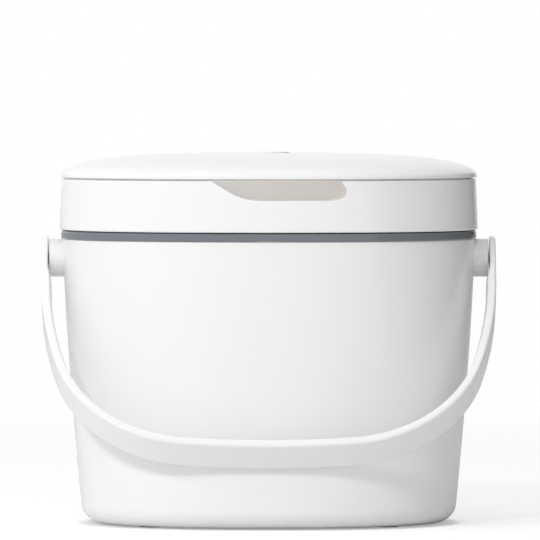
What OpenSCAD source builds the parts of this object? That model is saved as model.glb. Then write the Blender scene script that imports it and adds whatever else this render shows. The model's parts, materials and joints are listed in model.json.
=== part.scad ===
// Countertop compost caddy: tapered bucket with a swinging bail handle, a lift-out
// ring that holds the liner bag, and a domed lid hinged on the back of that ring.
// The origin is on the floor under the middle of the bucket. The front faces -Y.

/* [Bucket] */
// Width of the bucket across its rim
rim_w = 247; // [210:1:300]
// Depth of the bucket across its rim
rim_d = 193; // [170:1:250]
// Height from the underside of the base to the rim
bucket_h = 170; // [155:1:240]
// How far each wall leans in between rim and base
side_taper = 12; // [6:0.5:18]
// Power of the lean: 1 is straight, more keeps the top upright
taper_power = 1.4; // [1:0.1:2]
// Power of the plan outline: 2 is an ellipse, more is squarer
plan_power = 2.25; // [2.1:0.05:3.5]
// Thickness of the bucket's wall
bucket_wall = 1.8; // [1.4:0.1:3]
// Thickness of the bucket's floor
floor_t = 2.4; // [2:0.1:4]
// Radius between the wall and the base
base_r = 10.5; // [6:0.5:16]

/* [Feet] */
// Diameter of a foot pad
foot_dia = 16; // [10:1:20]
// Thickness of a foot pad
foot_t = 2; // [1.4:0.1:2.2]
// How far the pads stand out below the base
foot_proud = 0.8; // [0.5:0.1:1.2]
// Distance from the edge of the base to a pad's centre
foot_inset = 42; // [36:1:50]

/* [Handle] */
// Height of the pivots below the rim
pivot_drop = 11.8; // [11.7:0.1:30]
// Diameter of the round bosses on the bucket's sides
boss_dia = 22.8; // [14:0.2:23]
// How far the bosses stand out past the rim
boss_len = 8.1; // [6:0.1:12]
// Gap between a boss and the handle's ear
ear_gap = 0.7; // [0.4:0.1:2]
// Diameter of the handle's ears
ear_dia = 26; // [24:0.5:34]
// Thickness of the handle's ears
ear_t = 3.6; // [3:0.1:4.2]
// Width of the handle's band
band_w = 22.5; // [12:0.5:24]
// Thickness of the band along its middle
band_t = 6; // [5.2:0.1:7.4]
// Thickness of the band at its edges
band_edge_t = 4.8; // [2.4:0.1:5]
// Width of the slope between the band's edges and its middle
band_slope = 4.5; // [2:0.1:5]
// Bevel along the band's outer corners
band_bevel = 0.8; // [0.3:0.1:1.2]
// Radius of the long curve of each arm
arm_r = 228; // [215:1:260]
// Angle that the arms splay outwards at the pivots
arm_splay = 6; // [2:0.1:6.5]
// Angle at which an arm turns into the corner
corner_from = 16.5; // [14:0.5:26]
// Radius of the corners
corner_r = 87; // [60:1:90]
// Angle at which a corner turns into the grip
corner_to = 85; // [78:0.5:86]
// Gap left between the resting grip and the bucket's front
rest_gap = 0.7; // [0.4:0.1:3]

/* [Handle pins] */
// Diameter of a pin's shaft
pin_dia = 7; // [4:0.5:9]
// Diameter of a pin's head
pin_head_dia = 11.5; // [10:0.5:16]
// Thickness of a pin's head
pin_head_t = 1.2; // [0.8:0.1:1.5]
// Depth of a pin in its boss
pin_depth = 6.4; // [4:0.1:6.6]

/* [Liner ring] */
// How far the flange stands out past the bucket's rim
flange_over = 1; // [0.5:0.1:2]
// Thickness of the flange
flange_t = 4.9; // [3:0.1:7]
// Thickness of the ring's walls
ring_wall = 1.8; // [1.4:0.1:2.4]
// Height of the upper wall above the flange
collar_h = 28.8; // [27:0.1:40]
// Inset of the upper wall's foot from the flange's edge, at the sides
collar_foot_inset = 2.7; // [2.2:0.1:4]
// Inset of the upper wall's top from the flange's edge, at the sides
collar_top_inset = 4.7; // [4.2:0.1:6]
// Depth of the hollow curve down the upper wall
collar_waist = 2.5; // [0:0.1:4]
// How much further in the upper wall stands at the front and back
collar_front_extra = 4.1; // [4:0.1:6]
// Height of the skirt that hangs inside the bucket
skirt_h = 15; // [12:0.5:24]
// Gap between that skirt and the bucket's wall
skirt_gap = 0.9; // [0.8:0.1:1.5]
// How far the skirt leans in over its height
skirt_taper = 0.6; // [0.4:0.1:1.5]
// How far the centring ribs stand out from the skirt
rib_proud = 0.5; // [0.2:0.1:0.5]
// Height of a centring rib
rib_h = 4.2; // [2:0.1:5]
// Distance of a centring rib below the flange
rib_drop = 6.4; // [4:0.1:7]
// Diameter of the holes for the tail of the bag
bag_hole_dia = 18.9; // [10:0.1:19]
// Height of those holes above the flange
bag_hole_z = 16.2; // [16:0.1:18]
// Chamfer around those holes
bag_hole_chamfer = 0.6; // [0.3:0.1:0.8]
// Width of the small tab at the front
tab_w = 23.3; // [12:0.1:40]
// Height of the tab above the flange
tab_h = 5.4; // [3:0.1:5.6]
// Radius of the tab's upper corners
tab_r = 2.5; // [1:0.1:3]
// How far the tab stands out from the foot of the wall
tab_proud = 1.6; // [0.8:0.1:2]

/* [Hinge] */
// Diameter of the hinge pin
hinge_pin_dia = 4; // [3:0.1:4.4]
// Radius of the lid's knuckles
knuckle_r = 4; // [3.6:0.1:4.2]
// Half width of the middle knuckle
knuckle_half_w = 12; // [6:0.5:16]
// Width of a cradle on the ring
cradle_w = 11; // [7:0.5:14]
// Width of an outer knuckle
outer_knuckle_w = 5.5; // [4:0.5:8]
// Side play between knuckles and cradles
hinge_play = 0.5; // [0.3:0.1:0.8]
// How far the ring's tongue reaches behind the hinge line
tongue_back = 6.3; // [6:0.1:9]
// Height of the hinge line above the ledge that stops the open lid
stop_drop = 1.8; // [1.6:0.1:3]

/* [Lid] */
// How far the lid's brim stands out past the bucket's rim
brim_over = 1.3; // [0.8:0.1:2]
// Height of the brim's upright edge
brim_h = 1.2; // [0.8:0.1:3]
// Height of the dome above the brim's edge
dome_h = 13.4; // [11:0.1:24]
// Power of the dome: more is flatter on top
dome_power = 3.6; // [3:0.1:5]
// Thickness of the lid's cover
cover_t = 1.8; // [1.4:0.1:2.4]
// Thickness of the lid's skirt
lid_wall = 2; // [1.6:0.1:2.2]
// How far the lid's skirt widens towards its lower edge
lid_flare = 1; // [0:0.1:1.2]
// Gap between the lid's lower edge and the flange
lid_gap = 0.4; // [0.3:0.1:1]
// Thickness of the deck under the cover
deck_t = 1.6; // [1.4:0.1:2.4]
// Height of the dark seam between cover and skirt
seam_h = 1; // [0.6:0.1:1.2]
// Depth of that seam
seam_in = 2; // [1:0.1:2.4]
// Distance from the brim to the cover's inner rib
rib_in = 7.4; // [7:0.1:10]
// Width of the finger recess
recess_w = 93; // [60:1:110]
// Height of the finger recess
recess_h = 13.5; // [8:0.5:18]
// Depth of the finger recess
recess_depth = 4.4; // [2:0.1:4.6]
// Radius of the recess's lower corners
recess_r = 5; // [2:0.5:6]
// Diameter of the low disc on top of the cover
disc_dia = 24.3; // [16:0.1:40]
// Height of the disc above the cover
disc_h = 0.6; // [0.4:0.1:1.2]

/* [Seal and filter] */
// Thickness of the seal
seal_t = 1.1; // [0.8:0.1:2]
// Width of the seal
seal_w = 6; // [4:0.1:8]
// Gap between the seal and the ring's top edge
seal_gap = 0.3; // [0.3:0.1:0.6]
// Width of the opening for the filter tray
tray_w = 118; // [80:1:130]
// Depth of the opening for the filter tray
tray_d = 66; // [40:1:80]
// Radius of the opening's corners
tray_r = 10; // [4:1:14]
// Width of the tray's edge under the deck
tray_edge = 4; // [2:0.5:6]
// Thickness of the tray's plate
tray_t = 1.2; // [0.9:0.1:1.3]
// Thickness of the tray's walls
tray_wall = 1.2; // [1:0.1:2]
// Thickness of the filter pad
pad_t = 7; // [4:0.5:9]
// Width of a slot in the tray's grille
slot_w = 3; // [2:0.5:5]
// Width of the bars between the slots
bar_w = 3; // [2:0.5:5]
// Gap around parts that snap or drop together
fit_gap = 0.3; // [0.2:0.1:0.4]

/* [Hidden] */

// Colours as photographed
SHELL = "#EFEFEE";
RING = "#7C8087";
SOFT = "#5A5C60";
STEEL = "#B9BCC0";
CARBON = "#2B2B2C";

// Points around a plan outline, and steps along the curves
PLAN_POINTS = 72;
WALL_STEPS = 7;
CORNER_STEPS = 4;
DOME_STEPS = 10;
ARM_STEPS = 20;
BEND_STEPS = 10;
GRIP_STEPS = 5;
ROUND = 64;
// Radial clearance of a pin that turns in its bore
RUNNING = 0.05;
// Overlap that welds a feature to the wall behind it
WELD = 0.6;
// Length that takes a cutter clear of any wall
CLEAR = 40;

// Heights, from the floor up
rim_z = foot_proud + bucket_h;
pivot_z = rim_z - pivot_drop;
flange_z = rim_z + flange_t;
collar_z = flange_z + collar_h;
deck_z = collar_z + seal_gap + seal_t;
brim_z = deck_z + deck_t;
seam_z = brim_z - seam_h;
crest_z = brim_z + brim_h + dome_h;
lid_z = flange_z + lid_gap;

// Half widths and half depths of the main outlines
rim = [rim_w / 2, rim_d / 2];
base = rim - [side_taper, side_taper];
flange = rim + [flange_over, flange_over];
brim = rim + [brim_over, brim_over];
collar_extra = [0, collar_front_extra];
skirt = rim - [bucket_wall + skirt_gap, bucket_wall + skirt_gap];
collar_top = inset(flange - collar_extra, collar_top_inset);

// Handle, from the bosses outwards
boss_end = rim[0] + boss_len;
ear_in = boss_end + ear_gap;
ear_out = ear_in + ear_t;

// Hinge line behind the ring, and its pieces from the middle outwards
hinge_y = brim[1] + lid_flare / 2;
hinge_z = lid_z + knuckle_r + 0.4;
cradle_from = knuckle_half_w + hinge_play;
cradle_to = cradle_from + cradle_w;
knuckle_from = cradle_to + hinge_play;
hinge_half_w = knuckle_from + outer_knuckle_w;

// Outlines and lofted shells
function inset(half, d) = [half[0] - d, half[1] - d];
function curve(v, power) = sign(v) * pow(abs(v), power);
function plan(half) = [
    for (i = [0:PLAN_POINTS - 1])
        let (a = 360 * i / PLAN_POINTS)
            [half[0] * curve(cos(a), 2 / plan_power), half[1] * curve(sin(a), 2 / plan_power)]
];
function ring(half, z) = [half[0], half[1], z];

// Skin over a stack of outlines. The stack runs with the material on its left, seen as
// a profile to the right of the axis; its ends are capped, or joined when looped.
module loft(rings, looped = false) {
    n = PLAN_POINTS;
    stack = looped ? concat(rings, [rings[0]]) : rings;
    rows = len(rings);
    points = [for (r = rings) for (p = plan(r)) [p[0], p[1], r[2]]];
    sides = [
        for (j = [0:len(stack) - 2])
            for (i = [0:n - 1])
                let (
                    k = (i + 1) % n,
                    low = j * n,
                    high = ((j + 1) % rows) * n
                )
                    each [[low + i, high + i, high + k], [low + i, high + k, low + k]]
    ];
    caps = [
        [for (i = [0:n - 1]) i],
        [for (i = [0:n - 1]) rows * n - 1 - i]
    ];
    polyhedron(points, looped ? sides : concat(sides, caps), convexity = 8);
}

// Upright slab between two plan outlines
module band(outer, inner, z, h) {
    translate([0, 0, z])
        linear_extrude(h)
            difference() {
                polygon(plan(outer));
                polygon(plan(inner));
            }
}

// Rounded rectangle in the plane, centred
module rounded(w, d, r) {
    for (x = [-1, 1], y = [-1, 1])
        translate([x * (w / 2 - r), y * (d / 2 - r)])
            circle(r, $fn = ROUND);
    square([w - 2 * r, d], center = true);
    square([w, d - 2 * r], center = true);
}

// Cylinder along X from one place to another
module bar(from, to, r) {
    translate([from, 0, 0])
        rotate([0, 90, 0])
            cylinder(h = to - from, r = r, $fn = ROUND);
}

// Block between two corners
module block(low, high) {
    translate(low)
        cube(high - low);
}

// --- Bucket -------------------------------------------------------------------------

// Inset of the outer wall from the rim at a height
function lean(z) = side_taper * pow(max(0, rim_z - z) / bucket_h, taper_power);
function wall(z) = inset(rim, lean(z));
// Inset that rounds the foot of a wall with radius r, at height h above its lowest point
function rounding(r, h) = r - sqrt(r * r - (r - h) * (r - h));

// Rounded foot then leaning wall, for a shell t further in and with its lowest point at z
function shell_wall(z, r, t) = concat(
    [
        for (i = [0:CORNER_STEPS])
            let (
                a = 90 * i / CORNER_STEPS,
                h = r * (1 - cos(a))
            )
                ring(inset(wall(z + h), t + r * (1 - sin(a))), z + h)
    ],
    [
        for (i = [1:WALL_STEPS])
            let (h = z + r + (rim_z - z - r) * i / WALL_STEPS)
                ring(inset(wall(h), t), h)
    ]
);
function backwards(list) = [for (i = [len(list) - 1:-1:0]) list[i]];

module feet_places() {
    for (x = [-1, 1], y = [-1, 1])
        translate([x * (base[0] - foot_inset), y * (base[1] - foot_inset), 0])
            children();
}

module bucket() {
    inner_z = foot_proud + floor_t;
    boss_from = rim[0] - bucket_wall + 0.4;
    color(SHELL)
        difference() {
            union() {
                loft(concat(
                    shell_wall(foot_proud, base_r, 0),
                    backwards(shell_wall(inner_z, base_r - bucket_wall, bucket_wall))
                ));
                for (side = [0, 180])
                    translate([0, 0, pivot_z])
                        rotate([0, 0, side])
                            bar(boss_from, boss_end, boss_dia / 2);
            }
            for (side = [0, 180])
                translate([0, 0, pivot_z])
                    rotate([0, 0, side])
                        bar(boss_end - pin_depth - fit_gap, boss_end + CLEAR, pin_dia / 2 + RUNNING);
            feet_places()
                cylinder(h = foot_t, r = foot_dia / 2 + fit_gap / 2, $fn = ROUND);
        }
}

module feet() {
    color(SOFT)
        feet_places()
            cylinder(h = foot_t, r = foot_dia / 2, $fn = ROUND);
}

// --- Handle -------------------------------------------------------------------------

// Pin pushed in from outside: shaft through the ear into the boss, head sunk in the ear
module handle_pin() {
    translate([0, 0, pivot_z]) {
        bar(boss_end - pin_depth, ear_out - pin_head_t, pin_dia / 2);
        bar(ear_out - pin_head_t - RUNNING, ear_out - RUNNING, pin_head_dia / 2);
    }
}

module handle_pin_right() {
    color(SHELL)
        handle_pin();
}

module handle_pin_left() {
    color(SHELL)
        mirror([1, 0, 0])
            handle_pin();
}

// The arch is drawn upright. Its outer face follows arcs from the right ear to the
// crown: each place is [x, height, angle turned].
arm_bow = arm_r * (1 - cos(arm_splay));
arch_start = [ear_out - RUNNING - arm_bow, 0];
function arc(start, r, from, to, steps) = [
    for (i = [0:steps])
        let (a = from + (to - from) * i / steps)
            [start[0] + r * (cos(a) - cos(from)), start[1] + r * (sin(a) - sin(from)), a]
];
arm_arc = arc(arch_start, arm_r, -arm_splay, corner_from, ARM_STEPS);
corner_arc = arc(arm_arc[ARM_STEPS], corner_r, corner_from, corner_to, BEND_STEPS);
grip_r = corner_arc[BEND_STEPS][0] / cos(corner_to);
grip_arc = arc(corner_arc[BEND_STEPS], grip_r, corner_to, 90, GRIP_STEPS);
half_arch = concat(drop_last(arm_arc), drop_last(corner_arc), grip_arc);
reach = grip_arc[GRIP_STEPS][1];

// The band is thin beside the boss and swells to its full section past it
swell_from = boss_dia / 2 + 1;
swell_to = swell_from + 2 * band_t;
function swell(h) = let (f = min(1, max(0, (h - swell_from) / (swell_to - swell_from)))) f * f * (3 - 2 * f);

// Section across the band: depth in from the outer face, and place across the width
function section(h) =
    let (
        ear_depth = ear_t - arm_bow - 2 * RUNNING,
        edge = ear_depth + (band_edge_t - ear_depth) * swell(h),
        middle = edge + (band_t - band_edge_t) * swell(h),
        half = band_w / 2
    )
        [
            [0, half - band_bevel], [0, band_bevel - half], [band_bevel, -half], [edge, -half],
            [middle, band_slope - half], [middle, half - band_slope], [edge, half], [band_bevel, half]
        ];
function arch_ring(p, side) = [
    for (s = section(p[1]))
        [side * (p[0] - s[0] * cos(p[2])), s[1], p[1] - s[0] * sin(p[2])]
];
function drop_last(list) = [for (i = [0:len(list) - 2]) list[i]];

module arch() {
    rings = concat(
        [for (p = half_arch) arch_ring(p, 1)],
        [for (p = backwards(drop_last(half_arch))) arch_ring(p, -1)]
    );
    n = len(rings[0]);
    last = len(rings) - 1;
    points = [for (r = rings) for (p = r) p];
    sides = [
        for (j = [0:last - 1])
            for (i = [0:n - 1])
                let (k = (i + 1) % n)
                    each [[j * n + i, j * n + k, (j + 1) * n + k], [j * n + i, (j + 1) * n + k, (j + 1) * n + i]]
    ];
    ends = [[for (i = [0:n - 1]) n - 1 - i], [for (i = [0:n - 1]) last * n + i]];
    polyhedron(points, concat(sides, ends), convexity = 6);
}

// Angle below level at which the hanging grip comes to rest against the bucket's front.
// Each pass moves it to where the grip's lower back corner just clears the wall.
grip_corner = [reach - band_edge_t, band_w / 2];
function grip_z(a) = pivot_z - grip_corner[0] * sin(a) - grip_corner[1] * cos(a);
function next_angle(a) =
    let (front = wall(grip_z(a))[1] + rest_gap)
        acos(front / norm(grip_corner)) - atan2(grip_corner[1], grip_corner[0]);
function settle(a, passes) = passes == 0 ? a : settle(next_angle(a), passes - 1);
hang_angle = settle(50, 12);

module handle() {
    color(SHELL)
        translate([0, 0, pivot_z])
            rotate([90 + hang_angle, 0, 0])
                difference() {
                    union() {
                        arch();
                        for (side = [0, 180])
                            rotate([0, 0, side]) {
                                bar(ear_in, ear_out - band_bevel, ear_dia / 2);
                                translate([ear_out - band_bevel, 0, 0])
                                    rotate([0, 90, 0])
                                        cylinder(h = band_bevel, r1 = ear_dia / 2,
                                            r2 = ear_dia / 2 - band_bevel, $fn = ROUND);
                            }
                    }
                    for (side = [0, 180])
                        rotate([0, 0, side]) {
                            bar(ear_in - CLEAR / 8, ear_out + 1, pin_dia / 2 + RUNNING);
                            bar(ear_out - pin_head_t - 2 * RUNNING, ear_out + 1, pin_head_dia / 2 + 4 * RUNNING);
                        }
                }
}

// --- Liner ring ---------------------------------------------------------------------

// Inset of the hollow-curved upper wall from the flange's edge, at a share of its height
function collar_inset(f) = collar_foot_inset + (collar_top_inset - collar_foot_inset) * f
    + 4 * collar_waist * f * (1 - f);
function collar(f, t) = ring(inset(flange - collar_extra, collar_inset(f) + t), flange_z + collar_h * f);
collar_foot = inset(flange - collar_extra, collar_foot_inset);

// Pieces of the ring's profile, each from its lower end to its upper end
function collar_face(t) = [for (i = [0:WALL_STEPS]) collar(i / WALL_STEPS, t)];

// Upright prism of a rounded window in the XZ plane, cut through the front
module front_window(w, h, r, z) {
    translate([0, 0, z])
        rotate([90, 0, 0])
            linear_extrude(rim_d)
                rounded_top(w, h, r);
}

// Rectangle with its two upper corners rounded, standing on the X axis
module rounded_top(w, h, r) {
    for (x = [-1, 1])
        translate([x * (w / 2 - r), h - r])
            circle(r, $fn = ROUND);
    translate([r - w / 2, 0])
        square([w - 2 * r, h]);
    translate([-w / 2, 0])
        square([w, h - r]);
}

// Ribs that centre the ring in the bucket, one at each corner
module centring_ribs() {
    corner = [skirt[0] * 0.76, skirt[0]];
    difference() {
        band(inset(skirt, -rib_proud), inset(skirt, ring_wall / 2), rim_z - rib_drop - rib_h, rib_h);
        for (side = [-1, 1])
            translate([side * skirt[0] * 0.985, 0, rim_z - rib_drop - rib_h / 2])
                cube([skirt[0] * 0.03 + 4 * rib_proud, rim_d / 2, 2 * rib_h], center = true);
        block([-corner[0], -rim_d, 0], [corner[0], rim_d, rim_z]);
    }
}

module cradle() {
    block([cradle_from, hinge_y - knuckle_r, flange_z - WELD],
        [cradle_to, hinge_y + tongue_back, hinge_z - stop_drop]);
    intersection() {
        translate([0, hinge_y, hinge_z])
            bar(cradle_from, cradle_to, knuckle_r + 0.1);
        block([0, hinge_y - CLEAR, flange_z - WELD],
            [CLEAR, hinge_y + CLEAR, hinge_z + hinge_pin_dia / 2 + 0.2]);
    }
}

module liner_ring() {
    skirt_foot = inset(skirt, skirt_taper);
    tab_back = inset(collar_foot, ring_wall);
    tab_front = inset(collar_foot, -tab_proud);
    hole_z = flange_z + bag_hole_z;
    wall_y = collar(bag_hole_z / collar_h, 0)[1];
    color(RING)
        difference() {
            union() {
                loft(concat(
                    [
                        ring(inset(skirt_foot, ring_wall), rim_z - skirt_h),
                        ring(skirt_foot, rim_z - skirt_h),
                        ring(skirt, rim_z),
                        ring(flange, rim_z),
                        ring(flange, flange_z)
                    ],
                    collar_face(0),
                    backwards(collar_face(ring_wall)),
                    [
                        ring(inset(collar_foot, ring_wall), rim_z + 1),
                        ring(inset(skirt, ring_wall), rim_z - 1)
                    ]
                ), looped = true);
                centring_ribs();
                intersection() {
                    front_window(tab_w, tab_h + WELD, tab_r, flange_z - WELD);
                    band(tab_front, tab_back, flange_z - WELD, collar_h);
                }
                block([-hinge_half_w, collar_foot[1], rim_z], [hinge_half_w, hinge_y + tongue_back, flange_z]);
                block([-hinge_half_w, hinge_y + knuckle_r + hinge_play, flange_z - WELD],
                    [hinge_half_w, hinge_y + tongue_back, hinge_z - stop_drop]);
                cradle();
                mirror([1, 0, 0])
                    cradle();
            }
            translate([0, rim_d, hole_z])
                rotate([90, 0, 0])
                    cylinder(h = 2 * rim_d, r = bag_hole_dia / 2, $fn = ROUND);
            for (side = [0, 180])
                rotate([0, 0, side])
                    translate([0, -wall_y + bag_hole_chamfer, hole_z])
                        rotate([90, 0, 0])
                            cylinder(h = 4 * bag_hole_chamfer, r1 = bag_hole_dia / 2,
                                r2 = bag_hole_dia / 2 + 2 * bag_hole_chamfer, $fn = ROUND);
            for (side = [-1, 1])
                translate([side * (cradle_from + cradle_to) / 2 - cradle_w, hinge_y, hinge_z]) {
                    bar(0, 2 * cradle_w, hinge_pin_dia / 2 + RUNNING);
                    translate([0, -hinge_pin_dia / 2 - RUNNING, 0])
                        cube([2 * cradle_w, hinge_pin_dia + 2 * RUNNING, CLEAR]);
                }
        }
}

// --- Hinge --------------------------------------------------------------------------

module hinge_pin() {
    color(STEEL)
        translate([0, hinge_y, hinge_z])
            bar(-hinge_half_w, hinge_half_w, hinge_pin_dia / 2);
}

// --- Lid ----------------------------------------------------------------------------

lid_top = inset(brim, lid_flare / 2);
lid_low = inset(brim, -lid_flare / 2);

// Shape of the finger recess seen from the front, hanging from the brim
module recess_window(grow) {
    translate([0, 0, brim_z])
        mirror([0, 0, 1])
            front_window(recess_w + 2 * grow, recess_h + seam_h + grow, recess_r + grow, 0);
}

module lid_frame() {
    notch_z = hinge_z + 1.15 * knuckle_r;
    color(SHELL)
        difference() {
            union() {
                loft([
                    ring(0.1 * lid_top, deck_z),
                    ring(inset(lid_top, lid_wall), deck_z),
                    ring(inset(lid_low, lid_wall), lid_z),
                    ring(lid_low, lid_z),
                    ring(lid_top, seam_z),
                    ring(inset(lid_top, seam_in), seam_z),
                    ring(inset(lid_top, seam_in), brim_z),
                    ring(0.1 * lid_top, brim_z)
                ]);
                intersection() {
                    recess_window(lid_wall);
                    band(inset(lid_top, lid_wall / 2), inset(lid_top, recess_depth + lid_wall), lid_z, brim_z - lid_z - 0.5);
                }
                translate([0, hinge_y, hinge_z]) {
                    bar(-knuckle_half_w, knuckle_half_w, knuckle_r);
                    bar(knuckle_from, hinge_half_w, knuckle_r);
                    bar(-hinge_half_w, -knuckle_from, knuckle_r);
                }
            }
            difference() {
                recess_window(0);
                band(inset(lid_top, recess_depth), [1, 1], 0, crest_z);
            }
            for (side = [-1, 1])
                translate([side * (cradle_from + cradle_to) / 2, hinge_y, (lid_z + notch_z) / 2 - 1])
                    cube([cradle_w + 1.8 * hinge_play, CLEAR, notch_z - lid_z + 2], center = true);
            translate([-CLEAR, hinge_y, hinge_z])
                bar(0, 2 * CLEAR, hinge_pin_dia / 2 + RUNNING);
            translate([0, 0, deck_z - 1])
                linear_extrude(deck_t + 2)
                    rounded(tray_w, tray_d, tray_r);
        }
}

// Height of the cover's outer and inner faces at a share of the way out to the brim
function dome(s) = crest_z - dome_h * (1 - sqrt(1 - pow(s, dome_power)));
function dome_ring(s, t) = ring(s * brim, dome(s) - t);
// Shares from the nearly flat middle out, closing up towards the steep edge
function dome_share(i) = sin(20 + 70 * i / DOME_STEPS);

module lid_cover() {
    rib_out = inset(brim, rib_in);
    rib_back = inset(brim, rib_in + cover_t);
    edge_back = inset(brim, cover_t + 1);
    rib_top = dome(rib_back[1] / brim[1]) - cover_t;
    color(SHELL)
        difference() {
            loft(concat(
                [
                    for (i = [0:DOME_STEPS / 2])
                        dome_ring(dome_share(i), cover_t)
                ],
                [
                    ring(rib_back, rib_top),
                    ring(rib_back, brim_z),
                    ring(rib_out, brim_z),
                    ring(rib_out, rib_top - cover_t / 2),
                    ring(edge_back, brim_z + cover_t),
                    ring(edge_back, brim_z),
                    ring(brim, brim_z)
                ],
                [for (i = [DOME_STEPS:-1:0]) dome_ring(dome_share(i), 0)]
            ));
            translate([0, 0, crest_z - disc_h])
                cylinder(h = CLEAR, r = disc_dia / 2 + fit_gap / 2, $fn = ROUND);
        }
}

module cover_disc() {
    color(SHELL)
        translate([0, 0, crest_z - disc_h])
            cylinder(h = 2 * disc_h, r = disc_dia / 2, $fn = ROUND);
}

module lid_seal() {
    color(SOFT)
        band(inset(collar_top, -1), inset(collar_top, seal_w - 1), collar_z + seal_gap, seal_t);
}

// --- Filter -------------------------------------------------------------------------

pitch = slot_w + bar_w;
slots = floor((tray_w - 2 * tray_r) / pitch / 2);

module filter_tray() {
    wall_w = tray_w - 2 * fit_gap;
    wall_d = tray_d - 2 * fit_gap;
    color(SHELL)
        difference() {
            union() {
                translate([0, 0, deck_z - tray_t])
                    linear_extrude(tray_t)
                        rounded(tray_w + 2 * tray_edge, tray_d + 2 * tray_edge, tray_r + tray_edge);
                translate([0, 0, deck_z - WELD])
                    linear_extrude(pad_t + WELD)
                        difference() {
                            rounded(wall_w, wall_d, tray_r);
                            rounded(wall_w - 2 * tray_wall, wall_d - 2 * tray_wall, tray_r - tray_wall);
                        }
            }
            for (i = [-slots:slots])
                translate([i * pitch, 0, deck_z])
                    cube([slot_w, tray_d - 2 * tray_r, CLEAR], center = true);
        }
}

module filter_pad() {
    pad_gap = 2 * (fit_gap + tray_wall + fit_gap);
    color(CARBON)
        translate([0, 0, deck_z])
            linear_extrude(pad_t)
                rounded(tray_w - pad_gap, tray_d - pad_gap, tray_r - tray_wall);
}

bucket();
feet();
handle_pin_left();
handle_pin_right();
handle();
liner_ring();
hinge_pin();
lid_frame();
lid_cover();
cover_disc();
lid_seal();
filter_tray();
filter_pad();
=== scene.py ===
"""Compost caddy with a hinged lid: bucket, bail handle, liner ring and lid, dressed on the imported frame."""
import json
import math

import bmesh
import bpy
from bpy.props import FloatProperty, FloatVectorProperty, IntProperty, PointerProperty
from mathutils import Matrix, Vector, noise


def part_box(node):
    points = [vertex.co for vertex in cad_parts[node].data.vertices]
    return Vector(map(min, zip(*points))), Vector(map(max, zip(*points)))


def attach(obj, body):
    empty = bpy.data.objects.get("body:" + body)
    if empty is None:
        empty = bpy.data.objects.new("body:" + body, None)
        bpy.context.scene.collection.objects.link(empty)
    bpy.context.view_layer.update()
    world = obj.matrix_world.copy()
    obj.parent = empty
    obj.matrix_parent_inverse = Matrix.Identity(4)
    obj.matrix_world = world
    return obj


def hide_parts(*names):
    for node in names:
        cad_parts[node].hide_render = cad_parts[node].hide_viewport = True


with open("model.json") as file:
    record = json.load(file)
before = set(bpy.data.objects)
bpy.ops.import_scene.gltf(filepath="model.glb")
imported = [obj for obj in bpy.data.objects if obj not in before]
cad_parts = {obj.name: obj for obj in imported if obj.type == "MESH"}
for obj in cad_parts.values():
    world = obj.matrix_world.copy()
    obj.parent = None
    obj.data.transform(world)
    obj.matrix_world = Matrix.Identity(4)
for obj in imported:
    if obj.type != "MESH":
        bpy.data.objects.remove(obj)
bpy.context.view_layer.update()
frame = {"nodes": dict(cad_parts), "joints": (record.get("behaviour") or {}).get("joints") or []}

bl_info = {
    "name": "Compost caddy",
    "version": (1, 0, 0),
    "blender": (4, 5, 0),
    "location": "3D View > Sidebar > Caddy",
    "description": "Builds a compost caddy with a bail handle, a liner ring and a hinged lid",
    "category": "Object",
}

# One millimetre in Blender's metres. Shapes below are worked out in millimetres.
MM = 0.001


def corners(node):
    """Lowest and highest corner of a frame node, in millimetres."""
    low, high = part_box(node)
    return [c / MM for c in low], [c / MM for c in high]


def joint_place(name):
    """Where a joint sits in the frame, in millimetres."""
    return [c / MM for j in frame["joints"] if j["name"] == name for c in j["pos_m"]]


BUCKET_LOW, BUCKET_HIGH = corners("bucket")
RING_LOW, RING_HIGH = corners("liner_ring")
LID_LOW, LID_HIGH = corners("lid_frame")
COVER_LOW, COVER_HIGH = corners("lid_cover")
PIVOT_Z = joint_place("handle_swing")[2]
HINGE_Y, HINGE_Z = joint_place("lid_hinge")[1:]

# Turns that put a piece on the right and on the left
HALF_TURNS = [Matrix.Rotation(turn, 4, "Z") for turn in (0, math.pi)]

# Sizes that pieces share so that they fit, in millimetres
PIN_BORE = 3.55  # radius of the bores for the handle's pins
HINGE_BORE = 2.05  # radius of the bores and the cradles for the hinge pin
FOOT_RADIUS = 8
FOOT_HEIGHT = 2
FLANGE_THICKNESS = 4.9  # of the ring's flange, which rests on the bucket's rim
SEAM_HEIGHT = 1  # of the dark gap between the lid's skirt and its brim
DECK_THICKNESS = 1.6  # of the lid's deck, which the cover rests on
FILTER_OPENING = (118, 66)


# --- Sizes and colours ----------------------------------------------------------------

def linear(hex_code):
    """Linear RGB of an sRGB hex colour such as "#EFEFEE"."""
    values = [int(hex_code[i:i + 2], 16) / 255 for i in (1, 3, 5)]
    return tuple(v / 12.92 if v <= 0.04045 else ((v + 0.055) / 1.055) ** 2.4 for v in values)


def length(name, description, default_mm):
    """A length property with its default in millimetres."""
    return FloatProperty(name=name, description=description, default=default_mm * MM, unit="LENGTH", precision=5)


def colour(name, description, hex_code):
    """A colour property with its default as sRGB hex."""
    return FloatVectorProperty(
        name=name, description=description, default=linear(hex_code), subtype="COLOR", size=3, min=0, max=1
    )


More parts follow.
